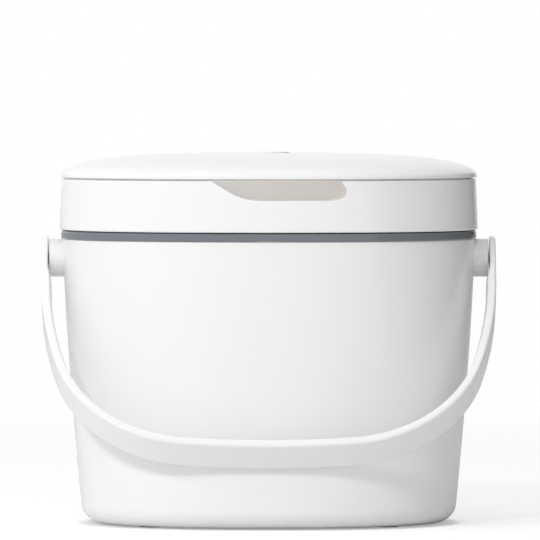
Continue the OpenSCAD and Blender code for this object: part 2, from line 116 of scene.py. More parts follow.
class CaddySizes(bpy.types.PropertyGroup):
    """Sizes of the caddy's pieces"""

    plan_power: FloatProperty(
        name="Plan power", description="Power of the plan outline: 2 is an ellipse, more is squarer", default=2.25
    )
    points_around: IntProperty(name="Points around", description="Points around the plan outline", default=240)
    rim_width: length("Rim width", "Width of the bucket across its rim", 2 * (RING_HIGH[0] - 1))
    rim_depth: length("Rim depth", "Depth of the bucket across its rim", 2 * BUCKET_HIGH[1])
    taper: length("Wall taper", "How far each wall leans in between rim and base", 12)
    base_radius: length("Base radius", "Radius between the wall and the base", 10.5)
    wall: length("Wall thickness", "Thickness of the bucket's and the ring's walls", 1.8)
    boss: length("Boss diameter", "Diameter of the bosses that carry the handle", 22.8)
    ear: length("Ear diameter", "Diameter of the handle's ears", 26)
    band_width: length("Band width", "Width of the handle's band", 22.5)
    band_thickness: length("Band thickness", "Thickness of the handle's band along its middle", 6)
    band_edge: length("Band edge", "Thickness of the handle's band at its edges", 4.8)
    collar_waist: length("Collar waist", "Depth of the hollow curve in the ring's upper wall", 2.5)
    bag_hole: length("Bag hole", "Diameter of the holes for the tail of the bag", 18.9)
    tab_width: length("Tab width", "Width of the small tab at the front of the ring", 23.3)
    dome_height: length("Dome height", "Height of the dome above the brim's edge", 13.4)
    recess_width: length("Recess width", "Width of the finger recess", 93)
    recess_height: length("Recess height", "Height of the finger recess", 12.6)
    recess_depth: length("Recess depth", "Depth of the finger recess at its lower edge", 5.2)
    disc: length("Disc diameter", "Diameter of the low disc on top of the cover", 24.3)


class CaddyColours(bpy.types.PropertyGroup):
    """Colours of the caddy's finishes"""

    shell: colour("Shell", "White moulded shell", "#F1F1F1")
    # Recess: greyer than the shell, a painted shade of the finger recess
    recess: colour("Recess", "Matt wall of the finger recess", "#D3CDC9")
    ring: colour("Ring", "Slate-grey moulded ring", "#74787F")
    foot: colour("Feet", "Dark rubber of the feet", "#3C3D40")
    seal: colour("Seal", "Soft grey seal", "#74777B")
    steel: colour("Steel", "Drawn steel rod", "#C6C8CB")
    carbon: colour("Filter", "Carbon felt", "#26272A")


# --- Materials ------------------------------------------------------------------------

def add(tree, kind, inputs=None, **settings):
    """Adds a node, makes its settings, and fills its inputs with links or constants. A node given
    as an input stands for its first output in use."""
    node = tree.nodes.new(kind)
    for name, value in settings.items():
        setattr(node, name, value)
    for key, value in (inputs or {}).items():
        if isinstance(value, bpy.types.Node):
            value = next(output for output in value.outputs if output.enabled)
        if isinstance(value, bpy.types.NodeSocket):
            tree.links.new(value, node.inputs[key])
        else:
            node.inputs[key].default_value = value
    return node


def per(millimetres):
    """Texture scale at which one feature spans this many millimetres."""
    return 1 / (millimetres * MM)


def surface(name):
    """An empty material with its tree, its output and its Object coordinates."""
    material = bpy.data.materials.new(name)
    material.use_nodes = True
    tree = material.node_tree
    tree.nodes.clear()
    where = add(tree, "ShaderNodeTexCoord").outputs["Object"]
    return material, tree, where


def shaded(tree, shader):
    """Ends a material's tree in its shader."""
    add(tree, "ShaderNodeOutputMaterial", {"Surface": shader})


def tinted(rgb, factor):
    """A colour with its brightness scaled, as RGBA."""
    return [min(1.0, c * factor) for c in rgb] + [1.0]


def polished_moulding(name, rgb, rough, ior, cloud, peel, edge=None):
    """Injection-moulded plastic from a polished tool. The eye gets clear reflections that ripple a
    little, slow clouds of melt flow in the colour, and patches that are a touch less glossy. Where
    an edge colour is given, the sharp edges are painted paler: a painted highlight."""
    material, tree, where = surface(name)
    flow = add(tree, "ShaderNodeTexNoise", {"Vector": where, "Scale": per(45), "Detail": 3.0, "Roughness": 0.5})
    tone = add(tree, "ShaderNodeMix", {
        0: flow, 6: tinted(rgb, 1 - cloud), 7: tinted(rgb, 1 + cloud),
    }, data_type="RGBA")
    if edge:
        # Painted highlight: sharp edges, found by pointiness, are painted in the paler edge colour
        painted_edge_highlight = add(tree, "ShaderNodeMapRange", {
            "Value": add(tree, "ShaderNodeNewGeometry").outputs["Pointiness"], "From Min": 0.53, "From Max": 0.64,
        })
        tone = add(tree, "ShaderNodeMix", {0: painted_edge_highlight, 6: tone, 7: linear(edge) + (1,)}, data_type="RGBA")
    patches = add(tree, "ShaderNodeTexNoise", {"Vector": where, "Scale": per(14), "Detail": 4.0})
    gloss = add(tree, "ShaderNodeMapRange", {
        "Value": patches, "From Min": 0.3, "From Max": 0.7, "To Min": rough * 0.88, "To Max": rough * 1.14,
    })
    # Orange peel of a polished tool: waves about 3 mm long and a few thousandths high
    ripple = add(tree, "ShaderNodeTexNoise", {"Vector": where, "Scale": per(3.2), "Detail": 1.0})
    relief = add(tree, "ShaderNodeBump", {"Strength": 1.0, "Distance": peel * MM, "Height": ripple})
    shaded(tree, add(tree, "ShaderNodeBsdfPrincipled", {
        "Base Color": tone, "Roughness": gloss, "IOR": ior, "Normal": relief,
    }))
    return material


def white_abs():
    """White ABS, injection moulded and polished: bright, with a soft clear sheen."""
    return polished_moulding("white_abs_moulded", colours().shell, 0.2, 1.52, 0.008, 0.004)


def recess_painted_shade_abs():
    """White ABS of the finger recess: matt, and greyer as a painted shade of the recess."""
    return polished_moulding("white_abs_recess_painted_shade", colours().recess, 0.55, 1.52, 0.015, 0.02)


def slate_abs():
    """Slate-grey ABS, injection moulded in a mirror tool: glossy, so light strips read sharp on it."""
    # A9A9AA is a painted highlight along the ring's sharp edges
    return polished_moulding("slate_abs_moulded", colours().ring, 0.13, 1.54, 0.03, 0.003, "#A9A9AA")


def soft_rubber(name, rgb, rough, grain):
    """Moulded rubber with a blasted skin: no clear reflection, fine grain, dusty high spots."""
    material, tree, where = surface(name)
    skin = add(tree, "ShaderNodeTexNoise", {"Vector": where, "Scale": per(grain), "Detail": 6.0, "Roughness": 0.65})
    dust = add(tree, "ShaderNodeTexNoise", {"Vector": where, "Scale": per(9), "Detail": 3.0})
    tone = add(tree, "ShaderNodeMix", {0: dust, 6: tinted(rgb, 0.82), 7: tinted(rgb, 1.25)}, data_type="RGBA")
    gloss = add(tree, "ShaderNodeMapRange", {"Value": skin, "To Min": rough - 0.1, "To Max": rough + 0.12})
    relief = add(tree, "ShaderNodeBump", {"Strength": 0.5, "Distance": 0.05 * MM, "Height": skin})
    shaded(tree, add(tree, "ShaderNodeBsdfPrincipled", {
        "Base Color": tone, "Roughness": gloss, "IOR": 1.5, "Normal": relief,
    }))
    return material


def foot_rubber():
    """Dark EPDM rubber of the feet, blasted tool."""
    return soft_rubber("epdm_rubber_foot", colours().foot, 0.72, 0.5)


def seal_silicone():
    """Grey silicone of the lid's seal, satin."""
    return soft_rubber("silicone_seal", colours().seal, 0.5, 0.8)


def drawn_steel():
    """Stainless steel rod, drawn: fine lines along its length that stretch the highlights across it."""
    material, tree, where = surface("stainless_steel_drawn")
    stretched = add(tree, "ShaderNodeMapping", {"Vector": where, "Scale": (0.02, 1, 1)})
    # Drawing marks are about 0.1 mm apart, drawn here at 0.35 mm so that they show
    lines = add(tree, "ShaderNodeTexNoise", {"Vector": stretched, "Scale": per(0.35), "Detail": 4.0})
    rgb = colours().steel
    tone = add(tree, "ShaderNodeMix", {0: lines, 6: tinted(rgb, 0.8), 7: tinted(rgb, 1.1)}, data_type="RGBA")
    gloss = add(tree, "ShaderNodeMapRange", {"Value": lines, "To Min": 0.2, "To Max": 0.42})
    relief = add(tree, "ShaderNodeBump", {"Strength": 0.4, "Distance": 0.02 * MM, "Height": lines})
    shaded(tree, add(tree, "ShaderNodeBsdfPrincipled", {
        "Base Color": tone, "Roughness": gloss, "Metallic": 1.0, "Normal": relief,
    }))
    return material


def carbon_felt():
    """Needled felt with powdered carbon: black, matt, matted fibres with paler fluff on top."""
    material, tree, where = surface("carbon_felt_needled")
    wander = add(tree, "ShaderNodeTexNoise", {"Vector": where, "Scale": per(4), "Detail": 2.0})
    bent = add(tree, "ShaderNodeMix", {0: 0.02, 4: where, 5: wander.outputs["Color"]}, data_type="VECTOR")
    # Fibres are about 0.05 mm thick, drawn here at 0.4 mm so that they show
    fibres = add(tree, "ShaderNodeTexWave", {
        "Vector": bent, "Scale": per(2.5), "Distortion": 9.0, "Detail": 4.0, "Detail Scale": 1.6,
    }).outputs["Fac"]
    specks = add(tree, "ShaderNodeTexNoise", {"Vector": where, "Scale": per(0.6), "Detail": 6.0, "Roughness": 0.7})
    height = add(tree, "ShaderNodeMath", {0: fibres, 1: specks}, operation="MULTIPLY")
    rgb = colours().carbon
    tone = add(tree, "ShaderNodeMix", {0: height, 6: tinted(rgb, 0.5), 7: tinted(rgb, 2.6)}, data_type="RGBA")
    relief = add(tree, "ShaderNodeBump", {"Strength": 0.9, "Distance": 0.3 * MM, "Height": height})
    shaded(tree, add(tree, "ShaderNodeBsdfPrincipled", {
        "Base Color": tone, "Roughness": 0.95, "Sheen Weight": 0.3, "Normal": relief,
    }))
    return material


FINISHES = {
    "shell_white": white_abs,
    "ring_grey": slate_abs,
    "foot_rubber": foot_rubber,
    "seal_rubber": seal_silicone,
    "pin_steel": drawn_steel,
    "filter_black": carbon_felt,
}
made_finishes = {}


def finish(slot):
    """The material of a slot of the record, built once."""
    if slot not in made_finishes:
        made_finishes[slot] = FINISHES[slot]()
    return made_finishes[slot]


def sizes():
    """The scene's sizes."""
    return bpy.context.scene.caddy_sizes


def colours():
    """The scene's colours."""
    return bpy.context.scene.caddy_colours


# --- Outlines and profiles ------------------------------------------------------------

class Measures:
    """Outlines and heights that the pieces share, in millimetres."""

    def __init__(self):
        group = sizes()
        for name in group.bl_rna.properties.keys():
            value = getattr(group, name)
            if isinstance(value, float) and name != "plan_power":
                setattr(self, name, value / MM)
        self.power = group.plan_power
        self.around = group.points_around
        self.foot_z = BUCKET_LOW[2]
        self.rim_z = BUCKET_HIGH[2]
        self.flange_z = self.rim_z + FLANGE_THICKNESS
        self.collar_z = RING_HIGH[2]
        self.lid_z = LID_LOW[2]
        self.brim_z = COVER_LOW[2]
        self.seam_z = self.brim_z - SEAM_HEIGHT
        self.deck_z = self.brim_z - DECK_THICKNESS
        self.crest_z = COVER_HIGH[2]
        self.rim = Vector((self.rim_width / 2, self.rim_depth / 2))
        self.flange = inset(self.rim, -1)
        self.brim = inset(self.rim, -1.3)
        self.lid_low = Vector((LID_HIGH[0], -LID_LOW[1]))
        self.lid_top = inset(self.lid_low, 1)
        self.skirt = inset(self.rim, self.wall + 0.9)
        self.collar_base = self.flange - Vector((0, 4.1))

    def lean(self, z):
        """Inset of the bucket's outer wall from its rim at a height."""
        return self.taper * (max(0, self.rim_z - z) / (self.rim_z - self.foot_z)) ** 1.4

    def collar(self, z):
        """Half width and half depth of the ring's upper wall at a height."""
        setback, taper = 2.7, 2
        f = (z - self.flange_z) / (self.collar_z - self.flange_z)
        return inset(self.collar_base, setback + taper * f + 4 * self.collar_waist * f * (1 - f))

    def lid_skirt(self, z):
        """Half width and half depth of the lid's skirt at a height."""
        f = (z - self.lid_z) / (self.seam_z - self.lid_z)
        return self.lid_low.lerp(self.lid_top, min(1, f))

    def depth(self, half, x):
        """Half depth of an outline at a distance from its middle."""
        return half[1] * (1 - abs(x / half[0]) ** self.power) ** (1 / self.power)

    def place(self, half, angle):
        """Point of an outline at an angle of its rule, in radians."""
        c, s = math.cos(angle), math.sin(angle)
        return (
            math.copysign(half[0] * abs(c) ** (2 / self.power), c),
            math.copysign(half[1] * abs(s) ** (2 / self.power), s),
        )


def inset(half, distance):
    """An outline's half width and half depth, moved inwards."""
    return Vector((half[0] - distance, half[1] - distance))


def at(half, z):
    """Profile point: half width, half depth and height."""
    return Vector((half[0], half[1], z))


def rounded(points, radii, closed=False, steps=4, support=0.5, plane=(0, 2)):
    """A polyline with its corners rounded to true arcs, measured in one plane of its coordinates.
    Each arc has a support point a little before and after it, which keeps the flats flat."""
    result = []
    for i, (corner, radius) in enumerate(zip(points, radii)):
        if radius == 0 or (not closed and i in (0, len(points) - 1)):
            result.append(corner)
            continue
        back = points[i - 1] - corner
        on = points[(i + 1) % len(points)] - corner
        flat_back = Vector((back[plane[0]], back[plane[1]]))
        flat_on = Vector((on[plane[0]], on[plane[1]]))
        turn = math.pi - flat_back.angle(flat_on)
        reach = radius * math.tan(turn / 2)
        back_share = min(0.46, reach / flat_back.length)
        on_share = min(0.46, reach / flat_on.length)
        start, end = corner + back * back_share, corner + on * on_share
        weight = math.cos(turn / 2)
        result.append(corner + back * min(0.48, back_share + support / flat_back.length))
        for k in range(steps + 1):
            t = k / steps
            a, b, c = (1 - t) ** 2, 2 * weight * t * (1 - t), t * t
            result.append((start * a + corner * b + end * c) / (a + b + c))
        result.append(corner + on * min(0.48, on_share + support / flat_on.length))
    return result


def arc(centre, radius, start, stop, count):
    """Points of an arc from one angle to another, in radians."""
    return [
        (centre[0] + radius * math.cos(a), centre[1] + radius * math.sin(a))
        for a in (start + (stop - start) * i / count for i in range(count + 1))
    ]


def quarter_round(count):
    """How far in and how far down each step of a rounded edge is, as shares of its radius."""
    return [(1 - math.sin(a), 1 - math.cos(a)) for a in (math.pi / 2 * i / count for i in range(count + 1))]


# --- Meshes ---------------------------------------------------------------------------

def in_scene(name, data):
    """A new object in the scene."""
    thing = bpy.data.objects.new(name, data)
    bpy.context.scene.collection.objects.link(thing)
    return thing


def temporary(mesh):
    """An object that only carries a mesh through a modifier."""
    return in_scene("temporary", mesh)


def evaluated(thing):
    """Plain mesh of an object with its modifiers applied."""
    bpy.context.view_layer.update()
    return bpy.data.meshes.new_from_object(thing.evaluated_get(bpy.context.evaluated_depsgraph_get()))


def discard(*things):
    """Removes temporary objects and their meshes."""
    for thing in things:
        mesh = thing.data
        bpy.data.objects.remove(thing)
        bpy.data.meshes.remove(mesh)


def through_nodes(tree, source, values):
    """Plain mesh that a Geometry Nodes tree makes of a source mesh."""
    thing = temporary(source)
    modifier = thing.modifiers.new("Nodes", "NODES")
    modifier.node_group = tree
    for item in tree.interface.items_tree:
        if item.item_type == "SOCKET" and item.in_out == "INPUT" and item.name in values:
            modifier[item.identifier] = values[item.name]
    mesh = evaluated(thing)
    discard(thing)
    return mesh


def points_mesh(points):
    """Mesh of loose points, given in millimetres."""
    mesh = bpy.data.meshes.new("points")
    mesh.from_pydata([p * MM for p in points], [], [])
    return mesh


def group_tree(name, sockets):
    """A Geometry Nodes tree with named inputs, and its input node."""
    tree = bpy.data.node_groups.new(name, "GeometryNodeTree")
    tree.interface.new_socket("Geometry", in_out="OUTPUT", socket_type="NodeSocketGeometry")
    tree.interface.new_socket("Geometry", in_out="INPUT", socket_type="NodeSocketGeometry")
    for label, kind in sockets:
        tree.interface.new_socket(label, in_out="INPUT", socket_type=kind)
    return tree, add(tree, "NodeGroupInput").outputs


def closed(tree, geometry):
    """A smooth form with its seams and poles closed."""
    welded = add(tree, "GeometryNodeMergeByDistance", {"Geometry": geometry, "Distance": 0.002 * MM})
    return add(tree, "GeometryNodeSetShadeSmooth", {"Geometry": welded, "Shade Smooth": True})


def end_tree(tree, geometry, material):
    """Ends a tree in Realize Instances and Set Material."""
    real = add(tree, "GeometryNodeRealizeInstances", {"Geometry": geometry})
    dressed = add(tree, "GeometryNodeSetMaterial", {"Geometry": real, "Material": material})
    add(tree, "NodeGroupOutput", {"Geometry": dressed})


def grid_over(tree, across, rows):
    """A grid with one column of points per step across, and each point's column and row."""
    columns = add(tree, "ShaderNodeMath", {0: across, 1: 1.0}, operation="ADD")
    grid = add(tree, "GeometryNodeMeshGrid", {"Vertices X": columns, "Vertices Y": rows})
    index = add(tree, "GeometryNodeInputIndex")
    share = add(tree, "ShaderNodeMath", {0: index, 1: rows}, operation="DIVIDE")
    column = add(tree, "ShaderNodeMath", {0: share}, operation="FLOOR")
    return grid, column, add(tree, "ShaderNodeMath", {0: index, 1: rows}, operation="MODULO")


def shell_tree():
    """Carries a profile round the plan outline. The profile's points hold half width, half depth
    and height; the outline is a superellipse."""
    tree, given = group_tree("Shell round the outline", [
        ("Points Around", "NodeSocketInt"), ("Plan Power", "NodeSocketFloat"), ("Material", "NodeSocketMaterial"),
    ])
    profile, around = given["Geometry"], given["Points Around"]
    rows = add(tree, "GeometryNodeAttributeDomainSize", {"Geometry": profile})
    grid, column, row = grid_over(tree, around, rows)
    point = add(tree, "GeometryNodeSampleIndex", {
        "Geometry": profile, "Value": add(tree, "GeometryNodeInputPosition"), "Index": row,
    }, data_type="FLOAT_VECTOR")
    half = add(tree, "ShaderNodeSeparateXYZ", {0: point}).outputs
    share = add(tree, "ShaderNodeMath", {0: column, 1: around}, operation="DIVIDE")
    turn = add(tree, "ShaderNodeMath", {0: share, 1: 2 * math.pi}, operation="MULTIPLY")
    power = add(tree, "ShaderNodeMath", {0: 2.0, 1: given["Plan Power"]}, operation="DIVIDE")
    sides = []
    for wave, reach in (("COSINE", half[0]), ("SINE", half[1])):
        value = add(tree, "ShaderNodeMath", {0: turn}, operation=wave)
        size = add(tree, "ShaderNodeMath", {0: value}, operation="ABSOLUTE")
        bent = add(tree, "ShaderNodeMath", {0: size, 1: power}, operation="POWER")
        sign = add(tree, "ShaderNodeMath", {0: value}, operation="SIGN")
        signed = add(tree, "ShaderNodeMath", {0: bent, 1: sign}, operation="MULTIPLY")
        sides.append(add(tree, "ShaderNodeMath", {0: signed, 1: reach}, operation="MULTIPLY"))
    place = add(tree, "ShaderNodeCombineXYZ", {0: sides[0], 1: sides[1], 2: half[2]})
    shape = add(tree, "GeometryNodeSetPosition", {"Geometry": grid, "Position": place})
    end_tree(tree, closed(tree, shape), given["Material"])
    return tree


def band_tree():
    """Carries a section along the handle's arch. Path points lie on the outer face and hold x, width
    as a share and height, with their heading and swell as attributes. Section points hold depth at
    the ear, place across, and depth where the band is full."""
    tree, given = group_tree("Band along the arch", [
        ("Section", "NodeSocketObject"), ("Material", "NodeSocketMaterial"),
    ])
    arch = given["Geometry"]
    section = add(tree, "GeometryNodeObjectInfo", {"Object": given["Section"]}).outputs["Geometry"]
    rows, points = (add(tree, "GeometryNodeAttributeDomainSize", {"Geometry": shape}) for shape in (arch, section))
    across = add(tree, "ShaderNodeMath", {0: points, 1: 1.0}, operation="SUBTRACT")
    grid, column, row = grid_over(tree, across, rows)
    position = add(tree, "GeometryNodeInputPosition")
    path, cut_at = (add(tree, "ShaderNodeSeparateXYZ", {0: add(tree, "GeometryNodeSampleIndex", {
        "Geometry": shape, "Value": position, "Index": index,
    }, data_type="FLOAT_VECTOR")}).outputs for shape, index in ((arch, row), (section, column)))
    heading, swell = (add(tree, "GeometryNodeSampleIndex", {
        "Geometry": arch, "Index": row,
        "Value": add(tree, "GeometryNodeInputNamedAttribute", {"Name": name}, data_type="FLOAT"),
    }, data_type="FLOAT") for name in ("heading", "swell"))
    growth = add(tree, "ShaderNodeMath", {0: cut_at[2], 1: cut_at[0]}, operation="SUBTRACT")
    grown = add(tree, "ShaderNodeMath", {0: growth, 1: swell}, operation="MULTIPLY")
    deep = add(tree, "ShaderNodeMath", {0: cut_at[0], 1: grown}, operation="ADD")
    place = {1: add(tree, "ShaderNodeMath", {0: cut_at[1], 1: path[1]}, operation="MULTIPLY")}
    for axis, wave in ((0, "COSINE"), (2, "SINE")):
        lean = add(tree, "ShaderNodeMath", {0: heading}, operation=wave)
        inward = add(tree, "ShaderNodeMath", {0: deep, 1: lean}, operation="MULTIPLY")
        place[axis] = add(tree, "ShaderNodeMath", {0: path[axis], 1: inward}, operation="SUBTRACT")
    band = add(tree, "GeometryNodeSetPosition", {
        "Geometry": grid, "Position": add(tree, "ShaderNodeCombineXYZ", place),
    })
    end_tree(tree, closed(tree, band), given["Material"])
    return tree


def copies_tree():
    """Puts a copy of a small piece at each point."""
    tree, given = group_tree("Copies at places", [
        ("Piece", "NodeSocketObject"), ("Material", "NodeSocketMaterial"),
    ])
    piece = add(tree, "GeometryNodeObjectInfo", {"Object": given["Piece"], "As Instance": True}).outputs["Geometry"]
    dots = add(tree, "GeometryNodeMeshToPoints", {"Mesh": given["Geometry"]})
    copies = add(tree, "GeometryNodeInstanceOnPoints", {"Points": dots, "Instance": piece})
    end_tree(tree, copies, given["Material"])
    return tree


made_trees = {}


def tree_of(builder):
    """A Geometry Nodes tree, built once."""
    if builder not in made_trees:
        made_trees[builder] = builder()
    return made_trees[builder]


def shell(profile, slot, around, power):
    """Mesh of a profile carried round an outline."""
    return through_nodes(tree_of(shell_tree), points_mesh(profile), {
        "Points Around": around, "Plan Power": power, "Material": finish(slot),
    })


def turned(pairs, slot, around=64, matrix=None, radii=None, **rounding):
    """Mesh of a turned piece from (radius, height) pairs, its axis along Z before it is placed."""
    profile = [Vector((r, r, z)) for r, z in pairs]
    if radii:
        profile = rounded(profile, radii, **rounding)
    mesh = shell(profile, slot, around, 2.0)
    if matrix:
        mesh.transform(matrix)
    return mesh


def copied(mesh, places, slot):
    """Mesh with a copy of a small mesh at each place, given in millimetres."""
    piece = temporary(mesh)
    result = through_nodes(tree_of(copies_tree), points_mesh(places), {"Piece": piece, "Material": finish(slot)})
    discard(piece)
    return result


def stacked(loops, slot, closed=False, strips=False):
    """Closed mesh over loops of points in millimetres. Its ends are capped, or joined when closed."""
    work = bmesh.new()
    rings = [[work.verts.new(p * MM) for p in loop] for loop in loops]
    count = len(rings[0])
    pairs = list(zip(rings, rings[1:] + rings[:1])) if closed else list(zip(rings, rings[1:]))
    for low, high in pairs:
        for i in range(count):
            k = (i + 1) % count
            work.faces.new((low[i], low[k], high[k], high[i]))
    if not closed:
        for cap in (rings[0], rings[-1]):
            if strips:
                for i in range(count // 2 - 1):
                    work.faces.new((cap[i], cap[i + 1], cap[count - 2 - i], cap[count - 1 - i]))
            else:
                work.faces.new(cap)
    bmesh.ops.recalc_face_normals(work, faces=work.faces)
    return as_mesh(work, slot)


def as_mesh(work, slot):
    """Mesh from a bmesh, smooth, in a slot's finish."""
    for face in work.faces:
        face.smooth = True
    mesh = bpy.data.meshes.new("mesh")
    work.to_mesh(mesh)
    work.free()
    mesh.materials.append(finish(slot))
    return mesh


def prism(outline, low, high, slot, bevel):
    """Outline in the YZ plane drawn out along X, its hard edges bevelled."""
    work = bmesh.new()
    ends = [[work.verts.new(Vector((x, y, z)) * MM) for y, z in outline] for x in (low, high)]
    for i in range(len(outline)):
        k = (i + 1) % len(outline)
        work.faces.new((ends[0][i], ends[0][k], ends[1][k], ends[1][i]))
    work.faces.new(ends[0])
    work.faces.new(ends[1])
    bmesh.ops.recalc_face_normals(work, faces=work.faces)
    hard = [e for e in work.edges if e.calc_face_angle(0) > math.radians(40)]
    bmesh.ops.bevel(work, geom=hard, offset=bevel * MM, segments=3, profile=0.5, affect="EDGES", clamp_overlap=True)
    return as_mesh(work, slot)


def combined(meshes):
    """One mesh of several, all in one finish."""
    work = bmesh.new()
    for mesh in meshes:
        work.from_mesh(mesh)
    result = bpy.data.meshes.new("mesh")
    work.to_mesh(result)
    work.free()
    for mesh in meshes:
        bpy.data.meshes.remove(mesh)
    return result


def cut(mesh, tool, operation="DIFFERENCE"):
    """Exact boolean of two closed meshes."""
    target, other = temporary(mesh), temporary(tool)
    modifier = target.modifiers.new("Boolean", "BOOLEAN")
    modifier.operation = operation
    modifier.solver = "EXACT"
    modifier.object = other
    result = evaluated(target)
    discard(target, other)
    work = bmesh.new()
    work.from_mesh(result)
    bmesh.ops.remove_doubles(work, verts=work.verts, dist=0.002 * MM)
    bmesh.ops.dissolve_degenerate(work, edges=work.edges, dist=0.001 * MM)
    work.to_mesh(result)
    work.free()
    return result


def single(mesh, slot):
    """The mesh with one slot's finish and no other."""
    mesh.materials.clear()
    mesh.materials.append(finish(slot))
    mesh.polygons.foreach_set("material_index", [0] * len(mesh.polygons))
    return mesh


def crisp(mesh, degrees=32):
    """Smooth shading that stops at hard edges."""
    mesh.shade_smooth()
    mesh.set_sharp_from_angle(angle=math.radians(degrees))
    return mesh


def piece_of(name, mesh, body, slot, node):
    """A finished piece: it rides on its body and stands for its node."""
    mesh.name = name
    piece = in_scene(name, single(mesh, slot))
    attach(piece, body)
    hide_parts(node)
    return piece


def along_x(x, y, z):
    """Matrix that lays a turned piece along X, its foot at a place in millimetres."""
    return Matrix.Translation(Vector((x, y, z)) * MM) @ Matrix.Rotation(math.pi / 2, 4, "Y")


def against(outline, wall, steps, side=-1, share=lambda z: 1):
    """Loops that follow a curved wall. The outline gives points in the XZ plane for an amount to
    grow, the wall its half depth at a place, steps pairs of growth and depth, and the share how
    much of that depth counts at a height. Side is -1 at the front and 1 at the back."""
    return [
        [Vector((x, side * (wall(x, z) - depth * (share(z) if depth > 0 else 1)), z)) for x, z in outline(grow)]
        for grow, depth in steps
    ]


def lip_steps(outer, depth, inner, count):
    """Steps of a cut whose two edges are rounded, from outside a wall to the cut's depth. The outer
    edge flares. The inner one flares too, or closes in where its radius is below zero."""
    start = [(outer, -2.0)] + [(outer * along, outer * down) for along, down in quarter_round(count)]
    return start + [(inner * down, depth - abs(inner) * along) for along, down in quarter_round(count)]


def rounded_rectangle(width, depth, radius, z, steps=8):
    """Points of a rounded rectangle at a height."""
    result = []
    for sx, sy, quarter in ((1, 1, 0), (-1, 1, 1), (-1, -1, 2), (1, -1, 3)):
        centre = (sx * (width / 2 - radius), sy * (depth / 2 - radius))
        start = math.pi / 2 * quarter
        result += [Vector((x, y, z)) for x, y in arc(centre, radius, start, start + math.pi / 2, steps)]
    return result


# --- Pieces ---------------------------------------------------------------------------

class CADDY_OT_bucket(bpy.types.Operator):
    """Bucket: tapered shell with a rounded base and a boss on each side for the handle"""

    bl_idname = "caddy.bucket"
    bl_label = "Bucket"

    def execute(self, context):
        m = Measures()
        slot = "shell_white"

        def side(z, r, t):
            """Profile of one face of the wall: from a height up, round a radius, a thickness inwards."""
            foot = [
                at(inset(m.rim, m.lean(z + r * down) + t + r * along), z + r * down)
                for along, down in quarter_round(14)
            ]
            heights = [z + r + (m.rim_z - z - r) * i / 48 for i in range(1, 49)]
            return foot + [at(inset(m.rim, m.lean(h) + t), h) for h in heights]

        floor_z = m.foot_z + 2.4
        outer = side(m.foot_z, m.base_radius, 0)
        inner = side(floor_z, m.base_radius - m.wall, m.wall)
        rim = rounded([outer[-2], outer[-1], inner[-1], inner[-2]], [0, 0.6, 0.6, 0], support=0.3)
        middle, floor = Vector((0, 0, m.foot_z)), Vector((0, 0, floor_z))
        profile = [middle, outer[0] * 0.5 + middle * 0.5, outer[0].lerp(middle, 0.02)] + outer[:-1] + rim[1:-1]
        profile += inner[-2::-1] + [inner[0].lerp(floor, 0.02), floor]
        mesh = shell(profile, slot, m.around, m.power)

        end, root, bore_depth = BUCKET_HIGH[0], m.rim[0] - 1.4, 6.7
        r = m.boss / 2
        boss = [(0, 0), (r, 0), (r, end - root), (0, end - root)]
        bore = [(0, 0), (PIN_BORE, 0), (PIN_BORE, 12), (0, 12)]
        for about in HALF_TURNS:
            stud = turned(boss, slot, 96, about @ along_x(root, 0, PIVOT_Z), [0, 0, 0.7, 0], steps=5)
            mesh = cut(mesh, stud, "UNION")
            mesh = cut(mesh, turned(bore, slot, 48, about @ along_x(end - bore_depth, 0, PIVOT_Z)))
        r = FOOT_RADIUS + 0.15
        pit = turned([(0, -4), (r, -4), (r, FOOT_HEIGHT), (0, FOOT_HEIGHT)], slot)
        mesh = cut(mesh, copied(pit, feet_places(), slot))
        piece_of("bucket_shell", crisp(mesh), "bucket", slot, "bucket")
        return {"FINISHED"}


def feet_places():
    """The four places of the feet, in millimetres."""
    x, y = (c - FOOT_RADIUS for c in corners("feet")[1][:2])
    return [Vector((sx * x, sy * y, 0)) for sx in (-1, 1) for sy in (-1, 1)]


class CADDY_OT_feet(bpy.types.Operator):
    """Feet: four rubber pads sunk in the base, each with a grip groove"""

    bl_idname = "caddy.feet"
    bl_label = "Feet"

    def execute(self, context):
        slot = "foot_rubber"
        groove = [(4.2, 0), (4.5, 0.35), (5.1, 0.35), (5.4, 0)]
        rim = [(FOOT_RADIUS - 0.4, 0), (FOOT_RADIUS - 0.12, 0.12), (FOOT_RADIUS, 0.4), (FOOT_RADIUS, FOOT_HEIGHT)]
        pad = turned([(0, 0)] + groove + rim + [(0, FOOT_HEIGHT)], slot)
        piece_of("rubber_feet", crisp(copied(pad, feet_places(), slot)), "bucket", slot, "feet")
        return {"FINISHED"}


def hang_angle():
    """Angle below level at which the handle hangs in the frame, in radians, read from its crown."""
    crown = [
        Vector((v.co.y, v.co.z - PIVOT_Z * MM))
        for v in frame["nodes"]["handle"].data.vertices if abs(v.co.x) < 1e-5
    ]
    far = max(p.length for p in crown)
    outer = [p for p in crown if p.length > far - 1e-5]
    middle = sum(outer, Vector((0, 0))) / len(outer)
    return math.atan2(-middle.y, -middle.x)


